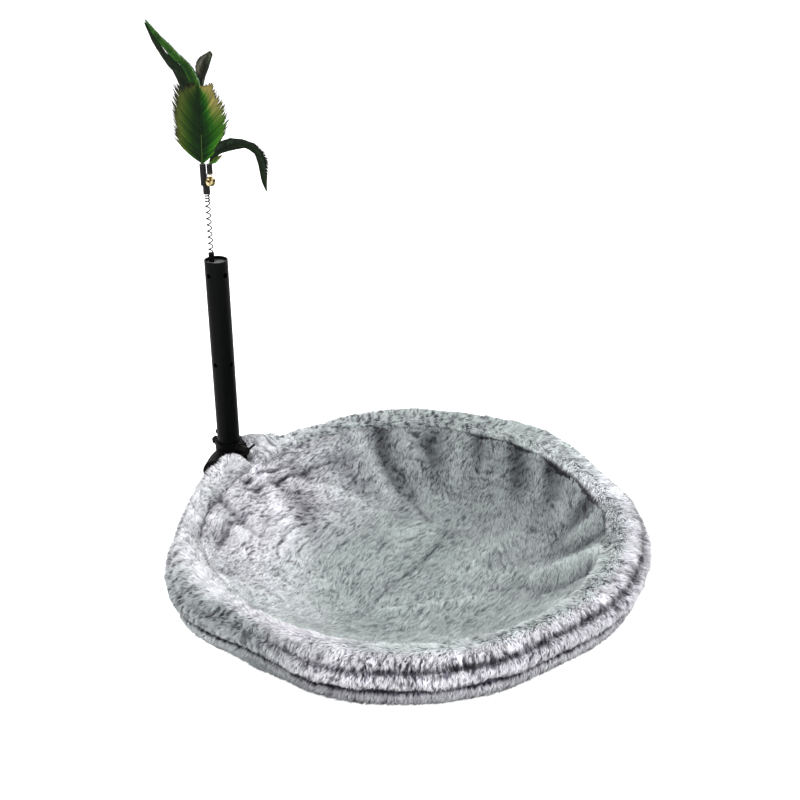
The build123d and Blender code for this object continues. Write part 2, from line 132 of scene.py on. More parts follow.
# Painted white board, faintly mottled, that glows a little so that it meets the surroundings without an edge
bpy.ops.mesh.primitive_plane_add(size=8.0, location=(0, 0, 0))
floor = bpy.context.object
floor.name = "floor"
board, add = empty("materials", "white_floor_board")
mottle = add("TexNoise", {"Scale": 3.0})
paint = add("ValToRGB", {"Fac": (mottle, "Fac")}, {0.0: "#fbfbfb", 1.0: "#ffffff"})
shader = add("BsdfPrincipled", {"Base Color": (paint, "Color"), "Roughness": 0.9})
path = add("LightPath")
glow = add("Emission", {"Color": linear("#ffffff"), "Strength": 0.92})
plus = add("AddShader", {0: (shader, 0), 1: (glow, 0)})
mixed = add("MixShader", {0: (path, "Is Camera Ray"), 1: (shader, 0), 2: (plus, 0)})
add("OutputMaterial", {"Surface": (mixed, 0)})
floor.data.materials.append(board)


# Plan of the plush, given as tables
# Row angle in degrees against how far the padded rim stands out past its mean radius, in mm
rim_bulges = {
    0: 12, 9: 6, 19: 5, 26: 6, 39: 9, 51: 1, 61: -5, 71: -4, 78: 10, 82: 19, 85.5: 20, 87.6: -8, 90: -17, 93: -14,
    96: -4, 101: 1, 115: -10, 130: -10, 145: 0, 156: 6, 163: 4, 170: -2, 178: -8, 187: -7, 196: 0, 205: 1, 214: 0,
    228: -1, 238: -2, 249: -6, 259: -4, 267: 0, 280: 3, 295: 3, 314: 0, 330: -4, 338: -1, 351: 8,
}
# Row angle against the radius of the seam between the bowl and the rim
seam_radii = {
    0: 188, 12: 186, 21: 190, 32: 193, 41: 189, 52: 194, 62: 189, 75: 186, 90: 180, 100: 185, 115: 184, 130: 187,
    146: 186, 160: 183, 180: 184, 200: 184, 220: 184, 240: 183, 260: 181, 278: 180, 292: 180, 305: 183, 315: 184,
    328: 181, 336: 180, 345: 184, 352: 184,
}
# Row angle against how far the rim's crest sinks, in mm
rim_dips = {
    0: 0, 30: 1.5, 60: 4, 74: 5, 80: 5, 85.5: 4, 88: 9, 91: 11, 92.3: 8, 94: -1, 96.5: -5, 99: 0, 102: 7, 105.5: 7,
    109: 3, 114: 1, 140: 0, 178: 1, 249: 1, 300: 0,
}
# Row angle against how speckled the rim is with dark roots
rim_speckle = {
    0: 0.50, 30: 0.65, 60: 0.6, 85: 0.45, 110: 0.45, 150: 0.42, 175: 0.42, 193: 0.15, 208: 0.4, 225: 0.25, 260: 0.2,
    300: 0.25, 325: 0.28, 345: 0.48,
}
# Row angle against how violet the dye of the rim's pile is, and how bright it looks
rim_violet = {0: 0.25, 30: 0.25, 60: 0.45, 90: 0.85, 150: 0.75, 200: 1.0, 250: 1.0, 300: 0.95, 335: 0.55}
rim_bright = {
    0: 1.04, 20: 0.97, 45: 0.99, 70: 1.06, 90: 1.06, 150: 1.02, 180: 1.03, 220: 1.07, 300: 1.10, 330: 1.17, 348: 1.13,
}
# Row angle against how much painted shade darkens the crease of the seam between bowl and rim
seam_shade = {0: 0.7, 30: 0.6, 60: 0.3, 90: 0.1, 118: 0.3, 150: 0.6, 175: 0.3, 192: 0.0, 280: 0.0, 300: 0.2, 325: 0.7}
# Row angle against how much painted shade darkens the rim's upper furrow
furrow_shade = {
    0: 0.30, 30: 0.15, 60: 0.1, 110: 0.1, 150: 0.1, 175: 0.12, 195: 0.35, 208: 0.7, 230: 0.85, 275: 0.85, 290: 0.75,
    307: 0.42, 325: 0.12,
}
# Row angle against where the upper furrow runs, in degrees round the rim's section
furrow_turns = {0: 27, 200: 27, 240: 31, 270: 40, 290: 45, 310: 40, 330: 32}
# How violet the bowl's wall is, and how bright it is drawn: paler dye by the hub, painted shade on the back wall
wall_violet = {
    0: 0.25, 20: 0.25, 40: 0.35, 60: 0.6, 90: 0.95, 130: 0.9, 150: 0.7, 170: 0.4, 200: 0.2, 280: 0.15, 320: 0.2,
}
wall_bright = {
    0: 0.77, 20: 0.80, 40: 0.82, 60: 0.91, 90: 0.99, 130: 1.03, 160: 1.01, 200: 0.92, 250: 0.90, 280: 0.87, 320: 0.78,
    345: 0.76,
}

# Folds of the bowl: half width and height in mm, valleys below zero, then row angle and radius in mm along the fold
bowl_folds = (
    (8, -9, 43, 200, 44, 181, 43, 162, 40, 139, 34, 116),
    (7, 5, 52, 185, 50, 165, 48, 140, 42, 116),
    (7, 4, 36, 180, 34, 160, 30, 138),
    (8, -7, 28, 178, 25, 158, 21, 132),
    (7, 4, 19, 178, 17, 158, 14, 130),
    (7, -5, 11, 182, 9, 165, 7, 148),
    (8, -8, 358, 184, 354, 168, 346, 146),
    (6, 5, 350, 184, 345, 168, 339, 152),
    (8, -7, 343, 180, 337, 167, 330, 152),
    (6, 4, 331, 180, 327, 165, 322, 150),
    (8, -7, 321, 182, 318, 168, 314, 150),
    (7, 4, 311, 182, 310, 165, 309, 148),
    (8, -6, 303, 182, 302, 162, 307, 132),
    (9, 6, 289, 181, 294, 150, 294, 108),
    (9, -6, 283, 181, 281, 150, 286, 115),
    (10, 3, 262, 180, 264, 150, 268, 120),
    (9, -4, 240, 181, 243, 150),
    (9, -4, 205, 182, 204, 150),
    (8, -4, 172, 183, 168, 155),
    (7, 3, 158, 183, 157, 160),
    (7, -3.5, 150, 186, 147, 165, 140, 146),
    (6, 2, 140, 186, 137, 166),
    (7, -3, 131, 186, 128, 168, 124, 150),
    (7, 2.5, 123, 186, 120, 160, 117, 130),
    (7, -5, 112, 184, 113, 160, 116, 138),
    (8, 4.5, 92, 176, 94, 156, 97, 138, 101, 120, 104, 102),
    (15, -4.5, 78, 156, 86, 125, 100, 95),
    (8, 5, 82, 158, 68, 128, 52, 98, 42, 76),
    (9, -3, 60, 158, 50, 120),
    (3, -2.6, 98, 166, 92, 161, 85, 161, 80, 163, 74, 161, 65, 163, 52, 166),
    (3, -2.4, 99, 176, 90, 170, 82, 171, 73, 176),
    (4, 2, 74, 171, 64, 172, 54, 176),
    (4, -2, 122, 184, 118, 178),
    (4, -2.2, 117, 165, 126, 166, 138, 172),
    (3.9, -1.7, 6, 82, 5, 64, 3, 44, 1, 25, 8, 6, 169, 11, 179, 32, 184, 62, 186, 84),
    (3.9, -1.4, 33, 128, 30, 108, 20, 88, 6, 82),
    (6, 3, 196, 64, 249, 57, 279, 91),
    (9, 2, 330, 110, 320, 60, 270, 30),
    (10, 2, 20, 110, 30, 70, 60, 40),
    (10, 2, 130, 110, 150, 60),
)


def around(table, degrees):
    """smooth value of a table at each angle, closed on itself"""
    turns, values = np.array(list(table), float), np.array(list(table.values()), float)
    turns = np.concatenate((turns[-2:] - 360, turns, turns[:3] + 360))
    values = np.concatenate((values[-2:], values, values[:3]))
    degrees = np.mod(np.asarray(degrees, float), 360)
    k = np.clip(np.searchsorted(turns, degrees, side="right") - 1, 1, len(turns) - 3)
    t = (degrees - turns[k]) / (turns[k + 1] - turns[k])
    slope_in = (values[k + 1] - values[k - 1]) / (turns[k + 1] - turns[k - 1]) * (turns[k + 1] - turns[k])
    slope_out = (values[k + 2] - values[k]) / (turns[k + 2] - turns[k]) * (turns[k + 1] - turns[k])
    return (
        values[k] * (2 * t**3 - 3 * t**2 + 1) + slope_in * (t**3 - 2 * t**2 + t)
        + values[k + 1] * (3 * t**2 - 2 * t**3) + slope_out * (t**3 - t**2)
    )


def ease(low, high, values):
    """0 up to low and 1 from high, smooth between; the other way round where low is the larger"""
    t = np.clip((values - low) / (high - low), 0, 1)
    return t * t * (3 - 2 * t)


def lumps(points, size, seed):
    """smooth seeded unevenness between -1 and 1, lumps of about the given size"""
    source = np.random.default_rng(seed)
    total = np.zeros(len(points))
    for _ in range(14):
        way = source.normal(size=3)
        way *= 2 * math.pi / size * source.uniform(0.6, 1.5) / np.linalg.norm(way)
        total += np.sin(points @ way + source.uniform(0, 6.28))
    return total / 14 * 2.0


def take(mesh, kind="co"):
    """places of a mesh's vertices, or their normals ("vector"), one row each"""
    values = np.empty((len(mesh.vertices), 3), np.float32)
    elements = mesh.vertices if kind == "co" else mesh.vertex_normals
    elements.foreach_get(kind, values.ravel())
    return values.astype(float)


def fill(elements, field, values, kind=np.float32):
    """writes the values into a field of every element"""
    elements.foreach_set(field, np.asarray(values, kind).ravel())


def give(mesh, points):
    """moves a mesh's vertices to the points"""
    fill(mesh.vertices, "co", points)
    mesh.update()


def spun_cloth(name, line, steps):
    """closed surface: a line of (radius, height over the hoop) in mm drawn by extruding, then spun round the Z axis"""
    edit, whole = bpy.ops.mesh, bpy.ops.object
    profile = [(r / 1000, RIM + z / 1000) for r, z in line]
    edit.primitive_plane_add(size=0.001, location=(profile[0][0], 0, profile[0][1]))
    piece = bpy.context.object
    piece.name = name
    whole.transform_apply(location=True, rotation=True, scale=True)
    whole.mode_set(mode="EDIT")
    edit.select_all(action="SELECT")
    edit.merge(type="CENTER")
    for (r0, z0), (r1, z1) in zip(profile, profile[1:]):
        edit.extrude_region_move(TRANSFORM_OT_translate={"value": (r1 - r0, 0, z1 - z0)})
    edit.select_all(action="SELECT")
    edit.spin(steps=steps, angle=2 * math.pi, center=(0, 0, 0), axis=(0, 0, 1))
    edit.select_all(action="SELECT")
    edit.remove_doubles(threshold=0.00002)
    edit.select_all(action="SELECT")
    edit.normals_make_consistent(inside=False)
    whole.mode_set(mode="OBJECT")
    # The tools above leave the faces in another order each run, and the pile is sown in their order
    faces = [tuple(face.vertices) for face in piece.data.polygons]
    lowest = [face.index(min(face)) for face in faces]
    places = take(piece.data).tolist()
    piece.data.clear_geometry()
    piece.data.from_pydata(places, [], sorted(face[k:] + face[:k] for face, k in zip(faces, lowest)))
    whole.shade_smooth()
    return piece


def curve_through(points, spacing):
    """points about evenly spaced along a smooth line through the given ones, in mm"""
    points = np.array(points, float)
    padded = np.vstack((2 * points[0] - points[1], points, 2 * points[-1] - points[-2]))
    line = []
    for k in range(1, len(padded) - 2):
        p0, p1, p2, p3 = padded[k - 1:k + 3]
        count = max(1, int(round(np.linalg.norm(p2 - p1) / spacing)))
        for n in range(count):
            t = n / count
            line.append(0.5 * (
                2 * p1 + (p2 - p0) * t + (2 * p0 - 5 * p1 + 4 * p2 - p3) * t**2 + (3 * p1 - p0 - 3 * p2 + p3) * t**3
            ))
    line.append(points[-1])
    return np.array(line)


def fold_field(x, y):
    """height of the folds over plan points, in mm, and the painted shade of their narrow creases"""
    total = np.zeros(len(x))
    dark = np.zeros(len(x))
    for width, height, *line in bowl_folds:
        turns = [math.radians(a) for a in line[::2]]
        nodes = curve_through([(r * math.cos(a), r * math.sin(a)) for a, r in zip(turns, line[1::2])], 8.0)
        near = np.full(len(x), 1e9)
        part = np.zeros(len(x))
        runs = np.linalg.norm(np.diff(nodes, axis=0), axis=1)
        length = runs.sum()
        done = 0.0
        for a, b, run in zip(nodes, nodes[1:], runs):
            way = (b - a) / run
            t = np.clip((x - a[0]) * way[0] + (y - a[1]) * way[1], 0, run)
            gap = np.hypot(x - a[0] - way[0] * t, y - a[1] - way[1] * t)
            closer = gap < near
            near = np.where(closer, gap, near)
            part = np.where(closer, (done + t) / length, part)
            done += run
        taper = np.clip(1.15 - part, 0, 1) ** 0.7
        total += height * taper * np.exp(-(near / width) ** 2)
        # Narrow valleys get a line of painted shade, broken along its length
        if width < 5 and height < 0:
            broken = 0.55 + 0.45 * np.sin(part * length / 4.5 + 1.7 * np.sin(part * length / 11.0))
            dark = np.maximum(dark, min(1.0, -height / 2.4) * broken * taper * np.exp(-(near / 1.15) ** 2))
    return total, dark


# The folds worked out once on a 0.9 mm grid, then read from it
GRID, CELL = 470, 0.9
grid_line = (np.arange(GRID) - (GRID - 1) / 2) * CELL
grid_x, grid_y = np.meshgrid(grid_line, grid_line, indexing="ij")
fold_grid = [values.reshape(GRID, GRID) for values in fold_field(grid_x.ravel(), grid_y.ravel())]


def between_cells(table, u, v):
    """smooth value of a square table at places counted in cells, repeated past its edge"""
    i, j = np.floor(u).astype(int), np.floor(v).astype(int)
    s, t = u - i, v - j
    s, t = s * s * (3 - 2 * s), t * t * (3 - 2 * t)
    size = len(table)
    low = table[i % size, j % size] * (1 - s) + table[(i + 1) % size, j % size] * s
    high = table[i % size, (j + 1) % size] * (1 - s) + table[(i + 1) % size, (j + 1) % size] * s
    return low * (1 - t) + high * t


def folds_at(place):
    """height of the folds in mm, and the painted shade of their creases, at places in metres"""
    u, v = (place[:, k] * 1000 / CELL + (GRID - 1) / 2 for k in (0, 1))
    return between_cells(fold_grid[0], u, v), between_cells(fold_grid[1], u, v)


def flecks(along, across, long, wide, seed):
    """streaky unevenness between about -1 and 1, for places in mm along and across the streaks"""
    table = np.random.default_rng(seed).uniform(-1, 1, (251, 251))
    coarse = between_cells(table, along / long, across / wide)
    fine = between_cells(table, along / long * 2.1 + 40.3, across / wide * 2.1 + 17.7)
    return (coarse + 0.5 * fine) / 1.1


# Cloth of the bowl, rim and outside: lines of (radius, height over the hoop) in mm
bowl_line = curve_through([
    (0, -54.5), (35, -54.5), (65, -53), (92, -48), (114, -41), (137, -30), (155, -18.5), (169, -6.5), (179, 2.0),
    (183.5, 3.5),
], 3.2)
bowl_line[0] = (0, -54.5)
lining = [(r, z - CLOTH) for r, z in bowl_line[::-4]]
lining[-1] = (0, lining[-1][1])
bowl = spun_cloth("bowl_cloth", list(bowl_line) + lining, 288)

rim_line = curve_through([
    (184.5, 2.0), (185.5, 9.0), (189.0, 13.2), (194.0, 15.0), (200.0, 14.8), (204.8, 13.0), (207.6, 9.6), (207.4, 6.6),
    (210.8, 7.0), (213.4, 4.6), (213.8, 0.8), (212.0, -3.8), (208.4, -6.6), (203.0, -9.5), (197.0, -10.5),
    (190.0, -8.5), (186.0, -3.5), (184.5, 2.0),
], 1.8)
rim = spun_cloth("rim_cloth", rim_line, 360)

skirt_line = curve_through([
    (188.0, -10.5), (198.0, -11.0), (204.5, -10.5), (207.6, -13.0), (209.0, -17.5), (207.8, -22.5), (203.5, -27.5),
    (197.5, -32.0), (186.0, -40.0), (168.0, -51.0), (146.0, -61.5), (124.0, -69.0), (106.0, -71.6), (90.0, -72.0),
    (50.0, -72.0), (0, -72.0),
], 3.0)
skirt_line[-1] = (0, -72.0)
inside = [(r, z + CLOTH) for r, z in skirt_line[::-4]]
inside[0] = (0, -69.0)
skirt = spun_cloth("skirt_cloth", list(skirt_line) + inside, 288)


def polar(points):
    """angle in degrees, from 0 to 360, and radius of each point as seen from above"""
    return np.degrees(np.arctan2(points[:, 1], points[:, 0])) % 360, np.hypot(points[:, 0], points[:, 1])


def reshaped(points):
    """moves plan points with the seam's and the rim's wavy outlines, and sinks the crest where it dips"""
    angle, radius = polar(points)
    mm = radius * 1000
    share_in, share_out = ease(110, 184, mm), ease(188, 210, mm)
    moved = mm + (around(seam_radii, angle) - SEAM) * share_in * (1 - share_out) + around(rim_bulges, angle) * share_out
    height = points[:, 2] * 1000 - RIM * 1000
    height = height - around(rim_dips, angle) * (ease(-6, 12, height) * ease(184, 192, mm))
    scale = np.where(mm > 1e-6, moved / np.maximum(mm, 1e-6), 1.0)
    return np.stack((points[:, 0] * scale, points[:, 1] * scale, RIM + height / 1000), axis=1)


# The hub as the cloth meets it, in metres from the post's axis at the hoop's level
FAR_ARM = ((0.010, 0.0), (0.019, -0.0015), (0.030, -0.0105), (0.044, -0.0145))
ARM_REACH = 0.0130 + 0.0011  # thickest part of the arm, and the cloth's play on it
ARM_LIFT = 0.0045  # how far the arm's middle stands above the hoop's
ARM_END, ARM_SLOPE = 0.040, 0.008  # where that lift has gone, and the length over which it goes
ARM_SIDE = 0.008  # the far arm's side of the collar starts here
COLLAR_REACH = 0.0136 + 0.003  # the collar's radius, its lower end, and the cloth's play on both
COLLAR_FOOT = -0.014 - 0.003


def clear_of_hub(points):
    """pushes points off the far arm, which the cloth wraps, and out of the collar"""
    x, y, z = points[:, 0], points[:, 1] - POST_Y, points[:, 2] - RIM
    for (ax, ay), (bx, by) in zip(FAR_ARM, FAR_ARM[1:]):
        ex, ey = bx - ax, by - ay
        run = math.hypot(ex, ey)
        t = np.clip(((x - ax) * ex + (y - ay) * ey) / run, 0, run) / run
        lift = ARM_LIFT * np.clip((ARM_END - ax - ex * t) / ARM_SLOPE, 0, 1)
        gx, gy, gz = x - ax - ex * t, y - ay - ey * t, z - lift
        gap = np.sqrt(gx**2 + gy**2 + gz**2)
        scale = np.where((gap < ARM_REACH) & (x > ARM_SIDE), ARM_REACH / np.maximum(gap, 1e-6), 1.0)
        x, y, z = x + gx * (scale - 1), y + gy * (scale - 1), z + gz * (scale - 1)
    gap = np.hypot(x, y)
    level = (z > COLLAR_FOOT) & (gap < COLLAR_REACH)
    scale = np.where(level, COLLAR_REACH / np.maximum(gap, 1e-6), 1.0)
    x, y = x * scale, np.where(level & (x < ARM_SIDE), -np.abs(y) * scale, y * scale)
    return np.stack((x, y + POST_Y, z + RIM), axis=1)


points = reshaped(take(bowl.data))
edge = 1 - 0.75 * ease(0.178, 0.187, polar(points)[1])
field = folds_at(points)[0] * edge
points[:, 2] += (1.8 + field + 0.9 * lumps(points, 0.045, 5) + 0.35 * lumps(points, 0.018, 6)) / 1000
give(bowl.data, points)

points = reshaped(take(rim.data))
push = (1.1 * lumps(points, 0.03, 7) + 0.7 * lumps(points, 0.014, 8)) / 1000
push = 0.0015 + push * ease(0.184, 0.192, polar(points)[1])
give(rim.data, clear_of_hub(points + take(rim.data, "vector") * push[:, None]))

points = reshaped(take(skirt.data))
angle, radius = polar(points)
gathers = np.sin(np.radians(angle * 22) + 1.4 * lumps(points, 0.16, 9)) * ease(0.105, 0.14, radius)
points[:, 2] += 1.1 * gathers * (1 - ease(0.19, 0.2, radius)) / 1000
points[:, 2] = np.maximum(points[:, 2], 0.0)
give(skirt.data, clear_of_hub(points))


# Pile of the plush
def cloth_samples(cloth, count, shown, source):
    """random places on the part of a cloth that is shown, with the cloth's normal there"""
    mesh = cloth.data
    mesh.calc_loop_triangles()
    corners = np.empty((len(mesh.loop_triangles), 3), np.int32)
    mesh.loop_triangles.foreach_get("vertices", corners.ravel())
    places, normals = take(mesh), take(mesh, "vector")
    a, b, c = (places[corners[:, k]] for k in range(3))
    facing_way = np.cross(b - a, c - a)
    area = np.linalg.norm(facing_way, axis=1)
    middle, up = (a + b + c) / 3, facing_way[:, 2] / np.maximum(area, 1e-12)
    area = area * (shown(*polar(middle), (middle[:, 2] - RIM) * 1000, up) & far_from_hub(middle))
    chosen = source.choice(len(area), count, p=area / area.sum())
    u, v = source.uniform(size=(2, count))
    over = u + v > 1
    u, v = np.where(over, 1 - u, u), np.where(over, 1 - v, v)
    weights = np.stack((1 - u - v, u, v), axis=1)[:, :, None]
    place = (places[corners[chosen]] * weights).sum(1)
    normal = (normals[corners[chosen]] * weights).sum(1)
    return place, normal / np.linalg.norm(normal, axis=1)[:, None]


def unit(vectors):
    """the vectors at length one"""
    return vectors / np.maximum(np.linalg.norm(vectors, axis=1), 1e-9)[:, None]


def placed(name, mesh):
    """new object in the scene, with the mesh"""
    piece = bpy.data.objects.new(name, mesh)
    scene.collection.objects.link(piece)
    return piece


def dab(mesh, label, values):
    """writes one number for each vertex, for the finishes to read"""
    fill(mesh.attributes.new(label, "FLOAT", "POINT").data, "value", values)


# How a blade stands: its lean from the cloth's normal in degrees, its lean and how much shorter it is on the hub's
# arm, and its middle's share of the rise and of the reach
LEAN, ARM_LEAN, ARM_SHORTER = 66, 80, 0.4
MIDDLE_RISE, MIDDLE_REACH = 0.62, 0.42
ARM_X, ARM_Y = 0.020, 0.212  # middle of the plush that wraps the arm, in metres
BLADE_POINTS, BLADE_CORNERS = 5, 7


def pile(name, cloth, count, shown, length, width, comb, unrest, dye_and_shade, seed):
    """thousands of bent blades combed along the nap, sown over the part of the cloth that is shown"""
    source = np.random.default_rng(seed)
    place, normal = cloth_samples(cloth, count, shown, source)
    turn = unrest * (lumps(place, 0.020, seed) + 0.6 * lumps(place, 0.007, seed + 100)) + source.normal(0, 0.16, count)
    way = comb(place)
    flat = unit(way - normal * (way * normal).sum(1)[:, None])
    side = np.cross(normal, flat)
    flat = flat * np.cos(turn)[:, None] + side * np.sin(turn)[:, None]
    lean = np.radians(LEAN + 7 * lumps(place, 0.009, seed + 200) + source.normal(0, 5, count))
    grown = length * (1 + 0.12 * lumps(place, 0.012, seed + 300)) * source.uniform(0.75, 1.12, count)
    sleeve = ease(0.060, 0.030, np.hypot(place[:, 0] - ARM_X, place[:, 1] - ARM_Y))
    grown, lean = grown * (1 - ARM_SHORTER * sleeve), lean + sleeve * (math.radians(ARM_LEAN) - lean) * 0.8
    rise = normal * (np.cos(lean) * grown)[:, None]
    reach = flat * (np.sin(lean) * grown)[:, None]
    tip = place + rise + reach
    middle = place + rise * MIDDLE_RISE + reach * MIDDLE_REACH
    across = unit(np.cross(normal, reach)) * (width / 2)

    # Each blade is a four-sided foot and a three-sided tip
    corners = np.stack((place - across * 0.8, place + across * 0.8, middle + across, middle - across, tip), axis=1)
    mesh = bpy.data.meshes.new(name)
    mesh.vertices.add(BLADE_POINTS * count)
    mesh.loops.add(BLADE_CORNERS * count)
    mesh.polygons.add(2 * count)
    each = np.arange(count)[:, None]
    fill(mesh.vertices, "co", corners)
    fill(mesh.loops, "vertex_index", BLADE_POINTS * each + [[1, 0, 3, 2, 2, 3, 4]], np.int32)
    fill(mesh.polygons, "loop_start", BLADE_CORNERS * each + [[0, 4]], np.int32)
    mesh.update(calc_edges=True)
    fill(mesh.polygons, "use_smooth", np.ones(2 * count), bool)

    # Brightness as seen, painted shade and light included, and violet at each blade's root, middle and tip
    tone, violet = (values.reshape(3, count) for values in dye_and_shade(np.concatenate((place, middle, tip))))
    tone = tone * source.uniform(0.90, 1.08, count)[None]
    level = [0, 0, 1, 1, 2]
    dab(mesh, "along", np.tile([0.0, 0.0, 0.55, 0.55, 1.0], count))
    dab(mesh, "tone", tone[level].T)
    dab(mesh, "violet", violet[level].T)

    # Each blade has a cell of its own on the map
    cells = math.ceil(math.sqrt(count))
    corner_places = np.array([[0.9, 0.06], [0.1, 0.06], [0.1, 0.5], [0.9, 0.5], [0.9, 0.5], [0.1, 0.5], [0.5, 0.94]])
    uv = (np.stack((each % cells, each // cells), axis=2) + corner_places[None]) / cells
    fill(mesh.uv_layers.new(name="OFBake").data, "uv", uv)

    blade = np.cross(across, tip - place)
    soft = unit(unit(blade) * np.sign((blade * normal).sum(1))[:, None] * 0.4 + normal * 0.6)
    mesh.normals_split_custom_set_from_vertices(np.repeat(soft, BLADE_POINTS, axis=0).tolist())
    return placed(name, mesh)


def hump(values, centre, width):
    """1 at the centre, falling smoothly to nothing about two widths away"""
    return np.exp(-((values - centre) / width) ** 2)


def turned(angle, centre, width):
    """the same for angles, which come round again after 360 degrees"""
    return hump((angle - centre + 180) % 360 - 180, 0, width)


def bowl_dye_and_shade(place):
    """brightness as seen, and how violet, of the bowl's pile at each place; the brightness holds painted shade in fold
    valleys, creases, the seam and the back wall, and painted light on fold ridges
    """
    angle, radius = polar(place)
    mm = radius * 1000
    wall = ease(60, 140, mm)
    hub_side = turned(angle, 108, 38) * ease(70, 130, mm)
    violet = 0.12 + (around(wall_violet, angle) - 0.12) * wall + 0.10 * lumps(place, 0.06, 21)
    front = turned(angle, 235, 55)
    edge = radius - (around(seam_radii, angle) - SEAM) / 1000
    violet = violet + 0.7 * front * ease(0.172, 0.186, edge)
    field, dark = folds_at(place)
    # Brightness by angle up the wall: paler dye by the hub, and painted shade on the back wall
    tone = 0.88 + (around(wall_bright, angle) - 0.88) * wall
    # Painted shade in the fold valleys and painted light on the fold ridges
    tone = tone * (1 + 0.05 * np.clip(field, -9, 0) + 0.028 * np.clip(field, 0, 5))
    tone = tone * (1 + 0.05 * lumps(place, 0.035, 22)) * (1 + 0.04 * lumps(place, 0.012, 26))
    swing = 0.45 * lumps(place, 0.12, 31)
    x, y = place[:, 0] * 1000 + 2.0 * lumps(place, 0.02, 27), place[:, 1] * 1000 + 2.0 * lumps(place, 0.02, 28)
    streak = flecks(x * np.cos(swing) + y * np.sin(swing), y * np.cos(swing) - x * np.sin(swing), 3.6, 1.15, 29)
    smooth_patch = turned(angle, 195, 28) * ease(95, 125, mm)
    front_wall = front * ease(90, 130, mm)
    # More dark flecks in the fold valleys and fewer on the ridges, painted shade as well
    amount = 0.27 + 0.20 * lumps(place, 0.022, 30) + 0.20 * hub_side - 0.04 * np.clip(field, -6, 4)
    amount *= 1 - 0.7 * smooth_patch
    back_wall = turned(angle, 30, 45) * ease(95, 140, mm)
    amount = amount * (1 - 0.6 * front_wall) + 0.16 * back_wall
    tone *= 1 - np.clip(amount, 0, 0.8) * ease(0.12, 0.62, streak)
    tone *= 1 + 0.06 * ease(0.0, 0.6, -streak)
    # Painted shade in the crease of the seam
    tone *= 1 - around(seam_shade, angle) * ease(0.1820, 0.1858, edge)
    # Painted shade in the narrow creases of the folds
    return np.clip(tone * (1 - 0.75 * dark), 0.15, 1.2), np.clip(violet, 0, 1)


def rim_turn(place):
    """degrees round the rim's section, 0 outwards and 90 up: first from -180 to 180, then from -90 to 270"""
    angle, radius = polar(place)
    share = ease(188, 210, radius * 1000)
    out = radius * 1000 - around(rim_bulges, angle) * share - ROLL
    up = (place[:, 2] - RIM) * 1000 + around(rim_dips, angle) * 0.8 - 2.0
    section = np.degrees(np.arctan2(up, out))
    return section, np.where(section < -90, section + 360, section)


def rim_dye_and_shade(place):
    """brightness and violet of the rim's pile, with painted shade along its furrows and at the seam, and speckled where
    the roots show
    """
    angle = polar(place)[0]
    section, inward = rim_turn(place)
    tone = around(rim_bright, angle) * (1 + 0.06 * lumps(place, 0.03, 23)) * (1 + 0.04 * lumps(place, 0.011, 33))
    around_mm = np.radians(angle) * 200 + 1.6 * lumps(place, 0.016, 34)
    streak = flecks(section * 0.23, around_mm, 3.4, 1.25, 35)
    back = turned(angle, 40, 55)
    left = turned(angle, 172, 24)
    crest = hump(section, 105, 38)
    amount = around(rim_speckle, angle) * (1 - 0.55 * crest * (1 - back)) + 0.22 * lumps(place, 0.024, 36)
    amount -= 0.35 * back * ease(75, 50, section)
    beside = hump(section, 40, 22) + hump(section, -30, 26)
    first_turn = around(furrow_turns, angle)
    sage = ease(190, 215, angle) * ease(325, 285, angle)
    sage *= ease(first_turn + 30, first_turn + 80, inward)
    corner = hump(angle, 200, 20) * crest
    amount = (amount + 0.30 * beside * (1 - back)) * (1 - 0.55 * sage) * (1 - 0.5 * corner)
    tone *= 1 - np.clip(amount, 0, 0.85) * ease(0.1, 0.6, streak)
    tone *= 1 - 0.16 * left * ease(85, 50, section)
    broken = 0.62 + 0.38 * ease(-0.5, 0.3, lumps(place, 0.016, 37))
    tooth = flecks(section * 0.23, around_mm, 7.0, 1.7, 40)
    # Painted shade in the upper furrow, broken into flecks
    first = broken * around(furrow_shade, angle) * (0.5 + 0.5 * ease(-0.3, 0.2, tooth))
    tone *= 1 - first * hump(section, first_turn, 9 + 4 * streak)
    tone *= 1 - 0.01 * sage
    # Painted shade in the lower furrow, under the roll where it meets the band
    lower = 0.92 * (0.8 + 0.2 * broken) * (0.75 + 0.25 * ease(-0.3, 0.2, -tooth)) * (1 - 0.35 * left)
    tone *= 1 - lower * hump(section, -48, 19 + 6 * streak)
    # Painted shade in the crease of the seam, on the rim's side
    tone *= 1 - around(seam_shade, angle) * ease(150, 162, section)
    violet = around(rim_violet, angle) + 0.12 * lumps(place, 0.05, 24)
    violet = violet * (1 - 0.62 * sage) - 0.5 * left * ease(95, 55, section)
    return np.clip(tone, 0.12, 1.2), np.clip(violet, 0, 1)


def skirt_dye_and_shade(place):
    """brightness and violet of the outer band's pile: soft upright strands, a line of painted shade under the rim"""
    angle, radius = polar(place)
    height = (place[:, 2] - RIM) * 1000
    tone = around(rim_bright, angle) * 0.95 * (1 + 0.07 * lumps(place, 0.03, 25))
    streak = flecks(radius * 1000 - height, np.radians(angle) * 200 + 1.5 * lumps(place, 0.016, 38), 5.5, 1.5, 39)
    # Painted shade under the rim: darker strands near the band's top, and a dark line along it
    tone *= 1 - (0.14 + 0.4 * ease(-16, -12, height)) * ease(0.0, 0.6, streak)
    tone = tone * (1 - 0.85 * ease(-14.8, -12.0, height + 1.2 * streak))
    low = ease(-16, -26, height)
    left = hump(angle, 175, 25)
    corner = hump(angle, 195, 22)
    tone *= 1 - 0.20 * corner * (1 + 0.8 * lumps(place, 0.009, 42))
    violet = around(rim_violet, angle) * (1 - 0.35 * left) - 0.4 * low
    return np.clip(tone * (1 - 0.22 * low), 0.12, 1.1), np.clip(violet, 0, 1)


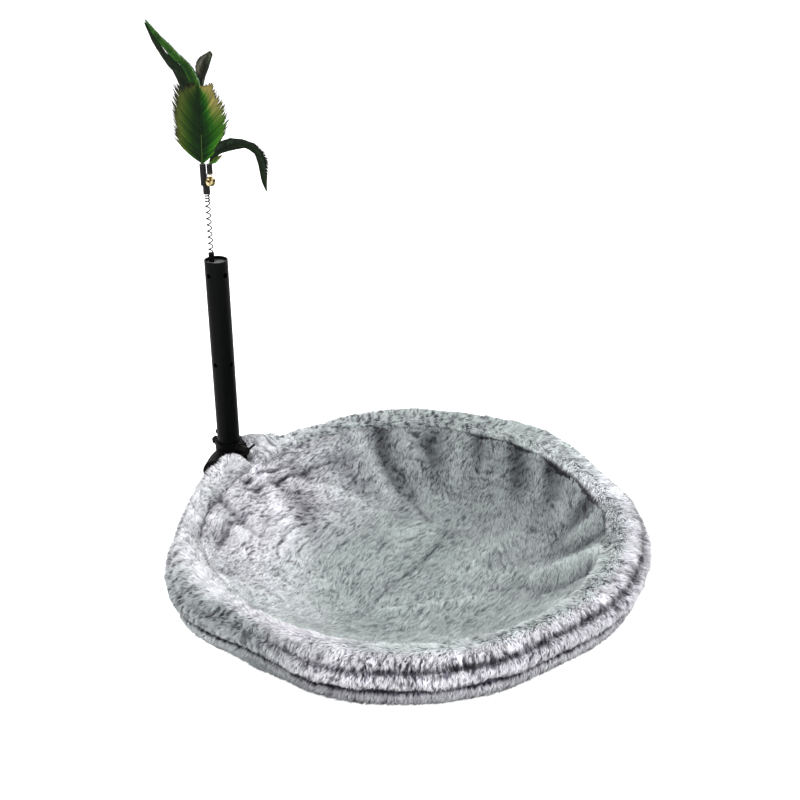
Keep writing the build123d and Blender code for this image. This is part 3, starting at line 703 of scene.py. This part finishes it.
# The cloth under the pile takes the same brightness, painted shade included, and violet
for cloth, dye_and_shade in ((bowl, bowl_dye_and_shade), (rim, rim_dye_and_shade), (skirt, skirt_dye_and_shade)):
    for label, values in zip(("tone", "violet"), dye_and_shade(take(cloth.data))):
        dab(cloth.data, label, values)


def bowl_comb(place):
    """nap of the bowl, which wanders about one way"""
    swing = 0.45 * lumps(place, 0.12, 31)
    return np.stack((np.cos(swing), np.sin(swing), np.zeros(len(place))), axis=1)


def rim_comb(place):
    """nap of the rim and the outside: outwards and down, turned round over the crest"""
    out = unit(place * [1, 1, 0])
    round_about = np.stack((out[:, 1], -out[:, 0], np.zeros(len(place))), axis=1)
    turn = np.radians(15 + 140 * ease(75, 165, rim_turn(place)[1]) + 22 * lumps(place, 0.05, 32))[:, None]
    return out * np.cos(turn) + round_about * np.sin(turn) + np.array([[0, 0, -0.7]]) * np.clip(np.cos(turn), 0, 1)


# Room that the blades leave round the hub, in metres from the post's axis at the hoop's level
HUB_ROOM, HUB_FOOT = 0.0160, -0.017
ARM_LENGTH, ARM_ROOM, ARM_SHIFT = 0.034, 0.0145, 0.004
FLOOR_EDGE = 0.125  # radius where the floor's pile ends and the wall's starts
CREST = 9.5  # height over the hoop, in mm, where the rim's side ends and its crest starts


def far_from_hub(place):
    """false where a blade would stand in the hub's collar or its arms"""
    x, y, z = place[:, 0], place[:, 1] - POST_Y, place[:, 2] - RIM
    collar = (np.hypot(x, y) < HUB_ROOM) & (z > HUB_FOOT)
    arm = (x < 0) & (x > -ARM_LENGTH) & (np.abs(y + ARM_SHIFT) < ARM_ROOM) & (np.abs(z - ARM_LIFT) < ARM_ROOM)
    return ~(collar | arm)


# Where each pile grows, by angle, radius in metres, height over the hoop in mm and the upward part of the normal
def floor_shown(angle, radius, height, up):
    """the bowl's floor"""
    return (up > 0.05) & (radius < FLOOR_EDGE)


def wall_shown(angle, radius, height, up):
    """the bowl's wall, up to its seam"""
    return (up > 0.05) & (radius >= FLOOR_EDGE) & (radius < (around(seam_radii, angle) - 0.5) / 1000)


def rim_shown(radius, height):
    """the rim, without its underside and its seam"""
    return ~((height < -7) & (radius < 0.202) | (radius < 0.1865) & (height < 4))


def crest_shown(angle, radius, height, up):
    """the rim's upper part"""
    return rim_shown(radius, height) & (height >= CREST)


def side_shown(angle, radius, height, up):
    """the rim's lower part"""
    return rim_shown(radius, height) & (height < CREST)


def band_shown(angle, radius, height, up):
    """the plush band of the outside"""
    return (height > -40) & (height < -11.5) & (radius > 0.183) & (up < 0.75)


piles = [pile(*row) for row in (
    ("bowl_floor_pile", bowl, 64000, floor_shown, BLADE, 0.00085, bowl_comb, 0.40, bowl_dye_and_shade, 51),
    ("bowl_wall_pile", bowl, 66000, wall_shown, BLADE, 0.00090, bowl_comb, 0.45, bowl_dye_and_shade, 52),
    ("rim_crest_pile", rim, 60000, crest_shown, BLADE, 0.00085, rim_comb, 0.7, rim_dye_and_shade, 53),
    ("rim_side_pile", rim, 60000, side_shown, SIDE_BLADE, 0.00085, rim_comb, 0.4, rim_dye_and_shade, 54),
    ("outer_band_pile", skirt, 60000, band_shown, SIDE_BLADE, 0.00090, rim_comb, 0.35, skirt_dye_and_shade, 55),
)]


# Feathers, drawn in the toy's plane: x to the photo's right, y up, in mm
right_way = Vector((0.591452, -0.806340, 0.0))
facing = Vector((-0.806340, -0.591452, 0.0))
BARB_PARTS, QUILL_SIDES = 5, 6


def inside_reach(start, way, outline):
    """distance along a ray from start to the outline, in mm"""
    best = 0.0
    for (ax, ay), (bx, by) in zip(outline, outline[1:] + outline[:1]):
        ex, ey = bx - ax, by - ay
        cross = way[0] * ey - way[1] * ex
        if abs(cross) > 1e-9:
            t = ((ax - start[0]) * ey - (ay - start[1]) * ex) / cross
            u = ((ax - start[0]) * way[1] - (ay - start[1]) * way[0]) / cross
            if t > 0 and 0 <= u <= 1 and (best == 0.0 or t < best):
                best = t
    return best


def feather(name, node, seat, forward, spine, outline, pitch, spread, bare, cup, teeth, longest, seed):
    """quill with barbs that end on the outline in ragged groups, all in mm in the toy's plane"""
    source = np.random.default_rng(seed)
    line = curve_through(spine, pitch)
    total = len(line) - 1
    toothed = teeth > 0.05
    vertices, faces, marks = [], [], []

    def put(spot, lift, *mark):
        """one vertex, and its across, along, side and shade"""
        vertices.append(tuple(
            seat + right_way * (spot[0] / 1000) + facing * ((forward + lift) / 1000) + Vector((0, 0, spot[1] / 1000))
        ))
        marks.append(mark)

    for side in (-1, 1):
        group, size, clump = 0, 5, 0.0
        depth = teeth * (1.6 if side > 0 and toothed else 1.0)
        for k in range(int(bare * total), total):
            share = k / total
            here = line[k]
            ahead = line[min(k + 1, total)] - line[max(k - 1, 0)]
            angle = math.atan2(ahead[1], ahead[0])
            angle -= side * math.radians(spread * (1.15 - 0.55 * share) + source.normal(0, 0.5))
            way = (math.cos(angle), math.sin(angle))
            reach = min(inside_reach(here, way, outline), longest * min(1, 3 * (1.03 - share)))
            group += 1
            if group >= size:
                group, size, clump = 0, int(source.integers(5, 10)), source.uniform(-1, 1)
            ragged = 1 + depth * (group / size - 0.55) + teeth * source.uniform(-0.12, 0.12)
            if source.uniform() < teeth * 0.5:
                ragged += 0.10
            if toothed and side < 0 and share > 0.88 and k % 9 == 0:
                ragged += 0.22
            reach *= ragged
            if reach < 0.6:
                continue
            across_way = np.array([-way[1], way[0]])
            shade = 0.55 * source.uniform(-1, 1) + 0.6 * clump
            raised = source.uniform(-0.12, 0.12)
            start = len(vertices)
            for j in range(BARB_PARTS + 1):
                t = j / BARB_PARTS
                bend = (ahead / np.linalg.norm(ahead)) * reach * 0.16 * (t * t - t * 0.4)
                centre = here + np.array(way) * reach * t + bend
                wide = pitch * (2.4 - 0.7 * t * t) * (0.25 if j == BARB_PARTS else 1.0)
                lift = raised * t + cup * (reach * t / 10) ** 2 + 0.25 * math.sin(t * 2.5)
                for sign in (-0.5, 0.5):
                    put(centre + across_way * wide * sign, lift, t, share, side, shade)
            for a in range(start, start + 2 * BARB_PARTS, 2):
                faces.append((a, a + 1, a + 3, a + 2) if side < 0 else (a, a + 2, a + 3, a + 1))
    first = len(vertices)
    for k, here in enumerate(line):
        share = k / total
        radius = 0.42 * (1 - share) + 0.06
        ahead = line[min(k + 1, total)] - line[max(k - 1, 0)]
        across_way = np.array([-ahead[1], ahead[0]]) / np.linalg.norm(ahead)
        for n in range(QUILL_SIDES):
            turn = 2 * math.pi * n / QUILL_SIDES
            spot = here + across_way * radius * math.cos(turn)
            put(spot, 0.1 + radius * math.sin(turn), 0.8 if share < 0.4 else 0.0, 0.0, 1, 1)
    last = len(vertices) - QUILL_SIDES
    for a in range(first, last, QUILL_SIDES):
        for n in range(QUILL_SIDES):
            m = (n + 1) % QUILL_SIDES
            faces.append((a + n, a + QUILL_SIDES + n, a + QUILL_SIDES + m, a + m))
    faces.append(tuple(first + n for n in range(QUILL_SIDES)))
    faces.append(tuple(last + n for n in reversed(range(QUILL_SIDES))))
    mesh = bpy.data.meshes.new(name)
    mesh.from_pydata(vertices, [], faces)
    mesh.update()
    fill(mesh.polygons, "use_smooth", np.ones(len(faces)), bool)
    for column, label in zip(np.array(marks).T, ("across", "along", "side", "shade")):
        dab(mesh, label, column)
    piece = placed(name, mesh)
    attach(piece, "toy")
    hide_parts(node)
    return piece


def top_middle(node):
    """middle of a node's top"""
    low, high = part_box(node)
    return Vector(((low.x + high.x) / 2, (low.y + high.y) / 2, high.z))


tube_seat = top_middle("quill_tube")
wrap_seat = Vector((0, WIRE_Y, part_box("side_wrap")[1].z)) + right_way * 0.0041

broad = feather(
    "broad_feather", "feather_broad", tube_seat, 1.2, [(0, 0), (0.9, 22), (1.6, 44), (1.6, 67)],
    [(0.6, 0), (12, 9.5), (23.5, 27), (25.2, 35), (23, 50), (17, 61), (13.5, 70.5), (5, 69), (0, 71.5), (-8, 69.5),
     (-14, 70), (-20.5, 66), (-24.2, 52), (-24.6, 36), (-24, 20), (-14, 8.5), (-0.6, 0)],
    0.62, 50, 0.02, -0.55, 0.085, 60, 61,
)
long_green = feather(
    "long_green_feather", "feather_long_green", tube_seat, 0.2,
    [(0, 0), (0.5, 31.7), (0.4, 62), (-5, 82), (-15, 93.5), (-28, 108.5), (-40, 125.7)],
    [(0.6, 0), (2.5, 31.7), (5.2, 62), (2.5, 76), (-1.5, 84), (-7, 91), (-13, 96.4), (-20, 104.5), (-27, 111),
     (-33, 118), (-40, 125.7), (-35, 114), (-29.4, 106), (-23, 97), (-17, 90), (-9.2, 79.2), (-3.6, 62),
     (-1.5, 31.7), (-0.6, 0)],
    0.7, 26, 0.2, -0.6, 0.02, 24, 62,
)
long_dark = feather(
    "long_dark_feather", "feather_long_dark", tube_seat, -0.8,
    [(0, 0), (-3, 40), (-9, 70), (-17, 84), (-27, 97), (-34.5, 109), (-41, 124)],
    [(0.6, 0), (0.5, 39.6), (0.7, 68.6), (-10, 84), (-25, 98), (-33.5, 112), (-41, 124), (-35.5, 107), (-28, 93),
     (-20, 80), (-11.9, 59.4), (-5, 35), (-0.6, 0)],
    0.7, 26, 0.2, -0.6, 0.02, 24, 63,
)
short_back = feather(
    "short_back_feather", "feather_short_back", tube_seat, -1.8, [(0, 0), (2, 45), (3.5, 70), (7, 86), (13.6, 99)],
    [(0.6, 0), (2.2, 35), (5.0, 68), (8.5, 79), (12.4, 87), (14.7, 93), (14.6, 96.6), (13.6, 99), (8.4, 95.8),
     (3.6, 92.6), (0.4, 88.4), (-0.4, 83), (0.2, 76), (1.6, 66), (1, 45), (-0.6, 0)],
    0.7, 28, 0.3, -0.5, 0.03, 26, 64,
)
arching = feather(
    "arching_feather", "feather_arching", wrap_seat, 0.3,
    [(0, 0), (3.2, 7), (10, 13), (20, 18), (31, 18.3), (41.2, 12.6), (47.8, -2), (50.3, -25.7)],
    [(0.6, 0), (6, 6.0), (12, 10.4), (18.6, 10.8), (30.5, 10.0), (37.4, 7.6), (42.6, 0), (44.6, -10), (47, -18),
     (50.3, -25.7), (51.6, -10), (50.5, 2), (47.5, 11), (41.6, 18.8), (31, 22.5), (19.8, 23.4), (10, 20), (3, 10),
     (-0.6, 0)],
    0.6, 30, 0.03, -0.7, 0.02, 26, 65,
)
small_tip = feather(
    "small_tip_feather", "feather_tip", wrap_seat, 1.4, [(0, 0), (6.2, 4.1), (12.6, 8.5)],
    [(0.5, 0), (6.9, 1.8), (12.6, 8.5), (5.6, 6.6), (-0.5, 0)], 0.6, 28, 0.1, -0.3, 0.04, 8, 66,
)


# Wire spring, in two halves: open turns below and close ones at the top
COIL_RADIUS, WIRE = 0.00205, 0.0012
TURN_STEPS = 16
OPEN_TURNS, OPEN_PITCH = 8, 0.0059
CLOSE_TURNS, CLOSE_PITCH = 3, 0.0025
foot_top = top_middle("spring_foot").z
coil_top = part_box("toy_sleeve")[0].z
heights = [0.0] + [WIRE + OPEN_PITCH / TURN_STEPS * k for k in range(OPEN_TURNS * TURN_STEPS + 1)]
heights += [heights[-1] + CLOSE_PITCH / TURN_STEPS * k for k in range(1, CLOSE_TURNS * TURN_STEPS + 1)]
heights.append(coil_top - foot_top)
wire_points = []
for k, height in enumerate(heights):
    turn = 2 * math.pi * min(max(k - 1, 0), len(heights) - 3) / TURN_STEPS
    wire_points.append((COIL_RADIUS * math.cos(turn), WIRE_Y + COIL_RADIUS * math.sin(turn), foot_top + height))
middle = next(k for k, spot in enumerate(wire_points) if spot[2] > (foot_top + coil_top) / 2)


def wire_half(name, spots):
    """round wire along the spots"""
    bpy.ops.curve.primitive_nurbs_path_add(location=(0, 0, 0))
    piece = bpy.context.object
    piece.name = name
    curve = piece.data
    curve.splines.clear()
    spline = curve.splines.new("POLY")
    spline.points.add(len(spots) - 1)
    for spline_point, spot in zip(spline.points, spots):
        spline_point.co = (*spot, 1.0)
    curve.bevel_depth = WIRE / 2
    curve.bevel_resolution = 3
    curve.use_fill_caps = True
    bpy.ops.object.convert(target="MESH")
    bpy.ops.object.shade_smooth()
    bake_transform(piece)
    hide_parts("teaser_spring")
    piece.select_set(False)
    return piece


spring_low = wire_half("spring_lower_half", wire_points[:middle + 1])
spring_high = wire_half("spring_upper_half", wire_points[middle:])

leaf = placed("leaf_spring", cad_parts["button_leaf_spring"].data.copy())
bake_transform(leaf)
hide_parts("button_leaf_spring")


# Finishes
def surface(add, inputs, height=None, strength=0.0, distance=0.0):
    """shader and output of a material, with relief where a height is given as (node, output)"""
    if height:
        relief = add("Bump", {"Height": height, "Strength": strength, "Distance": distance})
        inputs["Normal"] = (relief, "Normal")
    shader = add("BsdfPrincipled", inputs)
    add("OutputMaterial", {"Surface": (shader, "BSDF")})


def two_dyes(add, factor, source, first, second):
    """colour along the source, mixed from two ramps by the factor"""
    a, b = (add("ValToRGB", {"Fac": source}, stops) for stops in (first, second))
    return add("Mix", {"Factor": factor, "A": (a, "Color"), "B": (b, "Color")}, data_type="RGBA")


# Polyester plush pile, dark at the roots and tipped with a paler frosting, the dark partly dye and partly painted shade
# deep in the pile: dark gaps between pale tips. The tone attribute scales the colour and brings the painted shade and
# light of folds, creases, furrows and seams
plush, add = empty("materials", "frosted_polyester_pile")
along, tone, violet = (add("Attribute", attribute_name=label) for label in ("along", "tone", "violet"))
place = add("TexCoord")
speck = add("TexNoise", {"Vector": (place, "Object"), "Scale": 260.0, "Detail": 2.0})
speck = add("MapRange", {"Value": (speck, "Fac"), "To Min": 0.86, "To Max": 1.12})
reach = add("Math", {0: (along, "Fac"), 1: (speck, "Result")}, operation="MULTIPLY")
coloured = two_dyes(
    add, (violet, "Fac"), (reach, 0), {0.0: "#6a7b78", 0.3: "#9aaca7", 0.65: "#bccbc7", 1.0: "#d3dfdb"},
    {0.0: "#6f6a7e", 0.3: "#b3b0bd", 0.65: "#e6e5eb", 1.0: "#fbfbfd"},
)
level = add("Math", {0: (tone, "Fac"), 1: 2.2}, operation="POWER")
tint = {"Factor": (tone, "Fac"), "A": linear("#d6d2e6"), "B": linear("#ffffff")}
tint = add("Mix", tint, data_type="RGBA")
coloured = add("VectorMath", {0: (coloured, "Result"), 1: (tint, "Result")}, operation="MULTIPLY")
coloured = add("VectorMath", {0: (coloured, "Vector"), "Scale": (level, 0)}, operation="SCALE")
surface(add, {"Base Color": (coloured, "Vector"), "Roughness": 0.85, "Specular IOR Level": 0.2, "Sheen Weight": 0.15})

# Knitted polyester ground of the plush, seen only as dark gaps between the blades; knit loops about 1 mm. Its colour
# follows tone, with the same painted shade and light as the pile
ground, add = empty("materials", "knitted_polyester_ground")
tone, violet = (add("Attribute", attribute_name=label) for label in ("tone", "violet"))
coloured = two_dyes(
    add, (violet, "Fac"), (tone, "Fac"), {0.1: "#262d2d", 1.0: "#7d8a86"}, {0.1: "#211e2b", 1.0: "#8b8798"},
)
place = add("TexCoord")
knit = add("TexVoronoi", {"Vector": (place, "Object"), "Scale": 1000.0})
surface(add, {"Base Color": (coloured, "Result"), "Roughness": 0.95}, (knit, "Distance"), 0.4, 0.0004)

# Woven polyester backing, plain weave of threads about 0.6 mm apart: a dull grey with a faint square grain
backing, add = empty("materials", "woven_polyester_backing")
place = add("TexCoord")
warp, weft = (
    add("TexWave", {"Vector": (place, "Object"), "Scale": 520.0}, bands_direction=way) for way in ("X", "Y")
)
weave = add("Math", {0: (warp, "Fac"), 1: (weft, "Fac")}, operation="MULTIPLY")
wear = add("TexNoise", {"Vector": (place, "Object"), "Scale": 18.0, "Detail": 4.0})
shade = add("Math", {0: (weave, 0), 1: (wear, "Fac")}, operation="ADD")
shade = add("ValToRGB", {"Fac": (shade, 0)}, {0.2: "#5c6060", 1.0: "#8b908f"})
surface(add, {"Base Color": (shade, "Color"), "Roughness": 0.9}, (weave, 0), 0.35, 0.0002)


def coat(piece, finish):
    """gives a piece one finish"""
    piece.data.materials.clear()
    piece.data.materials.append(finish)


def plain_finish(nodes, name, dark, light, scale, roughness, metallic, bump_height, shine=0.5, spread=0.2):
    """finish for some nodes with a fine grain in colour, gloss and relief, its grain set by a noise scale"""
    made, add = empty("materials", name)
    place = add("TexCoord")
    grain = add("TexNoise", {"Vector": (place, "Object"), "Scale": scale, "Detail": 4.0})
    colour = add("ValToRGB", {"Fac": (grain, "Fac")}, {0.5 - spread: dark, 0.5 + spread: light})
    gloss = {"Value": (grain, "Fac"), "To Min": roughness - 0.06, "To Max": roughness + 0.06}
    gloss = add("MapRange", gloss)
    surface(add, {
        "Base Color": (colour, "Color"), "Roughness": (gloss, "Result"), "Metallic": metallic,
        "Specular IOR Level": shine,
    }, (grain, "Fac"), 0.25, bump_height)
    for node in nodes:
        coat(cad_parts[node], made)
    return made


# Powder coat on steel tube, orange peel about 1.5 mm across: near black with soft stretched highlights
plain_finish(("post_tube", "snap_button"), "black_powder_coat", "#050606", "#0a0b0c", 650.0, 0.38, 0.0, 0.00008, 0.055)
# Moulded nylon, spark-eroded texture about 0.4 mm: flat black that greys where light grazes it
plain_finish(
    ("hub", "clamp_knob", "spring_foot", "clamp_washers", "clamp_nut"), "black_moulded_nylon", "#050505", "#0a0a0b",
    2400.0, 0.5, 0.0, 0.00006, 0.07,
)
# Moulded polypropylene cap, fine matte: mid grey
plain_finish(("post_plug",), "grey_moulded_polypropylene", "#4e4f51", "#5d5e60", 2000.0, 0.55, 0.0, 0.00005)
# Zinc plating on turned steel, fine lines: bright bluish grey
plain_finish(
    ("clamp_bolt", "hoop_screws", "bell_pellet"), "zinc_plated_steel", "#8d9094", "#b4b7ba", 1500.0, 0.33, 1.0, 0.00003,
)
# Hard-drawn music wire, blackened and oiled: near black with small lights
music_wire = plain_finish((), "blackened_music_wire", "#060607", "#131315", 1800.0, 0.35, 0.0, 0.00002, 0.2)
# Drawn steel tube, unpainted, scratches along it: mid grey metal
plain_finish(("hoop_tube",), "drawn_steel_tube", "#74767a", "#909296", 900.0, 0.36, 1.0, 0.00003)
# Heat-shrunk polyolefin sleeve: soft black, slightly wrinkled every 2 mm
plain_finish(
    ("toy_sleeve", "quill_tube", "side_wrap", "side_quill"), "heat_shrunk_polyolefin", "#080808", "#111112",
    500.0, 0.42, 0.0, 0.00025, 0.25,
)
# Gilt pressed brass, tumbled: pale gold with dark brown blotches about 2 mm across, which are painted dark reflections
plain_finish(("bell_shell",), "gilt_pressed_brass", "#3a260c", "#fbe6ac", 380.0, 0.22, 1.0, 0.0002, spread=0.09)
# Carded polyester fibre fill: white wadding with lumps about 8 mm across
plain_finish(("bowl_padding",), "carded_polyester_fill", "#d8d8d4", "#efefec", 120.0, 0.9, 0.0, 0.0015)


def vane_finish(name, left, right, fleck, gold):
    """dyed feather: colour from quill to edge on each side, each barb a little different, gold where it is bleached"""
    made, add = empty("materials", name)
    across, along, side, shade = (
        add("Attribute", attribute_name=label) for label in ("across", "along", "side", "shade")
    )
    shift = add("Math", {0: (shade, "Fac"), 1: fleck, 2: (across, "Fac")}, operation="MULTIPLY_ADD")
    which = add("Math", {0: (side, "Fac"), 1: 0.0}, operation="GREATER_THAN")
    coloured = two_dyes(add, (which, 0), (shift, 0), left, right)

    # Bleached gold in a band near the edge of the right side's upper part
    upper = add("MapRange", {"Value": (along, "Fac"), "From Min": 0.30, "From Max": 0.60})
    outer = add("MapRange", {"Value": (shift, 0), "From Min": 0.40, "From Max": 0.75})
    inner = add("MapRange", {"Value": (shift, 0), "From Min": 0.95, "From Max": 0.86})
    bleached = which
    for factor in ((upper, "Result"), (outer, "Result"), (inner, "Result"), gold):
        bleached = add("Math", {0: (bleached, 0), 1: factor}, operation="MULTIPLY")
    mixed = {"Factor": (bleached, 0), "A": (coloured, "Result"), "B": linear("#97884f")}
    mixed = add("Mix", mixed, data_type="RGBA")

    # Light and dark barbs, and a left side that darkens upwards
    level = {"Value": (shade, "Fac"), "From Min": -1.0, "From Max": 1.0, "To Min": 0.42, "To Max": 1.22}
    level = add("MapRange", level)
    other = add("Math", {0: 1.0, 1: (which, 0)}, operation="SUBTRACT")
    dim = add("MapRange", {"Value": (along, "Fac"), "From Min": 0.25, "From Max": 0.75, "To Max": 0.55 * gold})
    dim = add("Math", {0: (dim, "Result"), 1: (other, 0)}, operation="MULTIPLY")
    dim = add("Math", {0: 1.0, 1: (dim, 0)}, operation="SUBTRACT")
    level = add("Math", {0: (level, "Result"), 1: (dim, 0)}, operation="MULTIPLY")
    mixed = add("VectorMath", {0: (mixed, "Result"), "Scale": (level, 0)}, operation="SCALE")
    surface(add, {"Base Color": (mixed, "Vector"), "Roughness": 0.5, "Specular IOR Level": 0.12})
    return made


# Dyed feathers, their colours along each barb from quill to edge: matte greens, gold-brown where the dye took less
green_vane = vane_finish(
    "dyed_green_feather",
    {0.0: "#081d06", 0.28: "#102d09", 0.52: "#2a460f", 0.76: "#4c5a20", 0.9: "#2a2916", 1.0: "#14120b"},
    {0.0: "#081d06", 0.22: "#0e3607", 0.5: "#27660f", 0.8: "#4b7d22", 0.92: "#262d14", 1.0: "#100e09"},
    0.08, 0.9,
)
# The pale stop at 0.72 on the right side is a painted highlight, a glossy streak along the vane
long_vane = vane_finish(
    "long_green_feather_dye_and_painted_highlight",
    {0.0: "#12300f", 0.3: "#1c3d12", 0.6: "#2c5a1c", 0.8: "#1b3f16", 1.0: "#0a1a0c"},
    {0.0: "#12300f", 0.3: "#274c12", 0.6: "#33571a", 0.72: "#86a585", 0.82: "#1d4421", 1.0: "#0b2412"},
    0.10, 0.0,
)
# The greyish stop at 0.55 on the left side is a painted highlight streak
dark_vane = vane_finish(
    "dark_green_feather_dye_and_painted_highlight",
    {0.0: "#0b150a", 0.3: "#10200e", 0.55: "#232a20", 0.7: "#0e2411", 1.0: "#060b06"},
    {0.0: "#0b150a", 0.3: "#16260f", 0.6: "#0d1c0d", 0.85: "#12240f", 1.0: "#060b06"}, 0.14, 0.0,
)
brown_vane = vane_finish(
    "dyed_brown_feather",
    {0.0: "#0d0e09", 0.4: "#25241b", 0.7: "#55554a", 1.0: "#22241b"},
    {0.0: "#0d0e09", 0.4: "#23281d", 0.7: "#4a5140", 1.0: "#181c12"}, 0.12, 0.0,
)

for piece, finish, slot in (
    (bowl, ground, "plush"), (rim, ground, "plush"), (skirt, ground, "backing"),
    (spring_low, music_wire, "spring_steel"), (spring_high, music_wire, "spring_steel"),
    (leaf, music_wire, "spring_steel"), (broad, green_vane, "feather_green"), (small_tip, green_vane, "feather_green"),
    (long_green, long_vane, "feather_green"), (long_dark, dark_vane, "feather_dark"),
    (arching, dark_vane, "feather_dark"), (short_back, brown_vane, "feather_brown"),
    *((piece, plush, "plush") for piece in piles),
):
    coat(piece, finish)

# The outside cloth is plush only on its band; below the band's seam it is the woven backing
BAND_FOOT = RIM - 0.036
skirt.data.materials.append(backing)
for face in skirt.data.polygons:
    if face.center.z < BAND_FOOT:
        face.material_index = 1

for piece in (*piles, bowl, rim, skirt):
    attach(piece, "hammock")
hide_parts("bowl_panel")
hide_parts("rim_roll")
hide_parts("underside_panel", "bowl_padding")
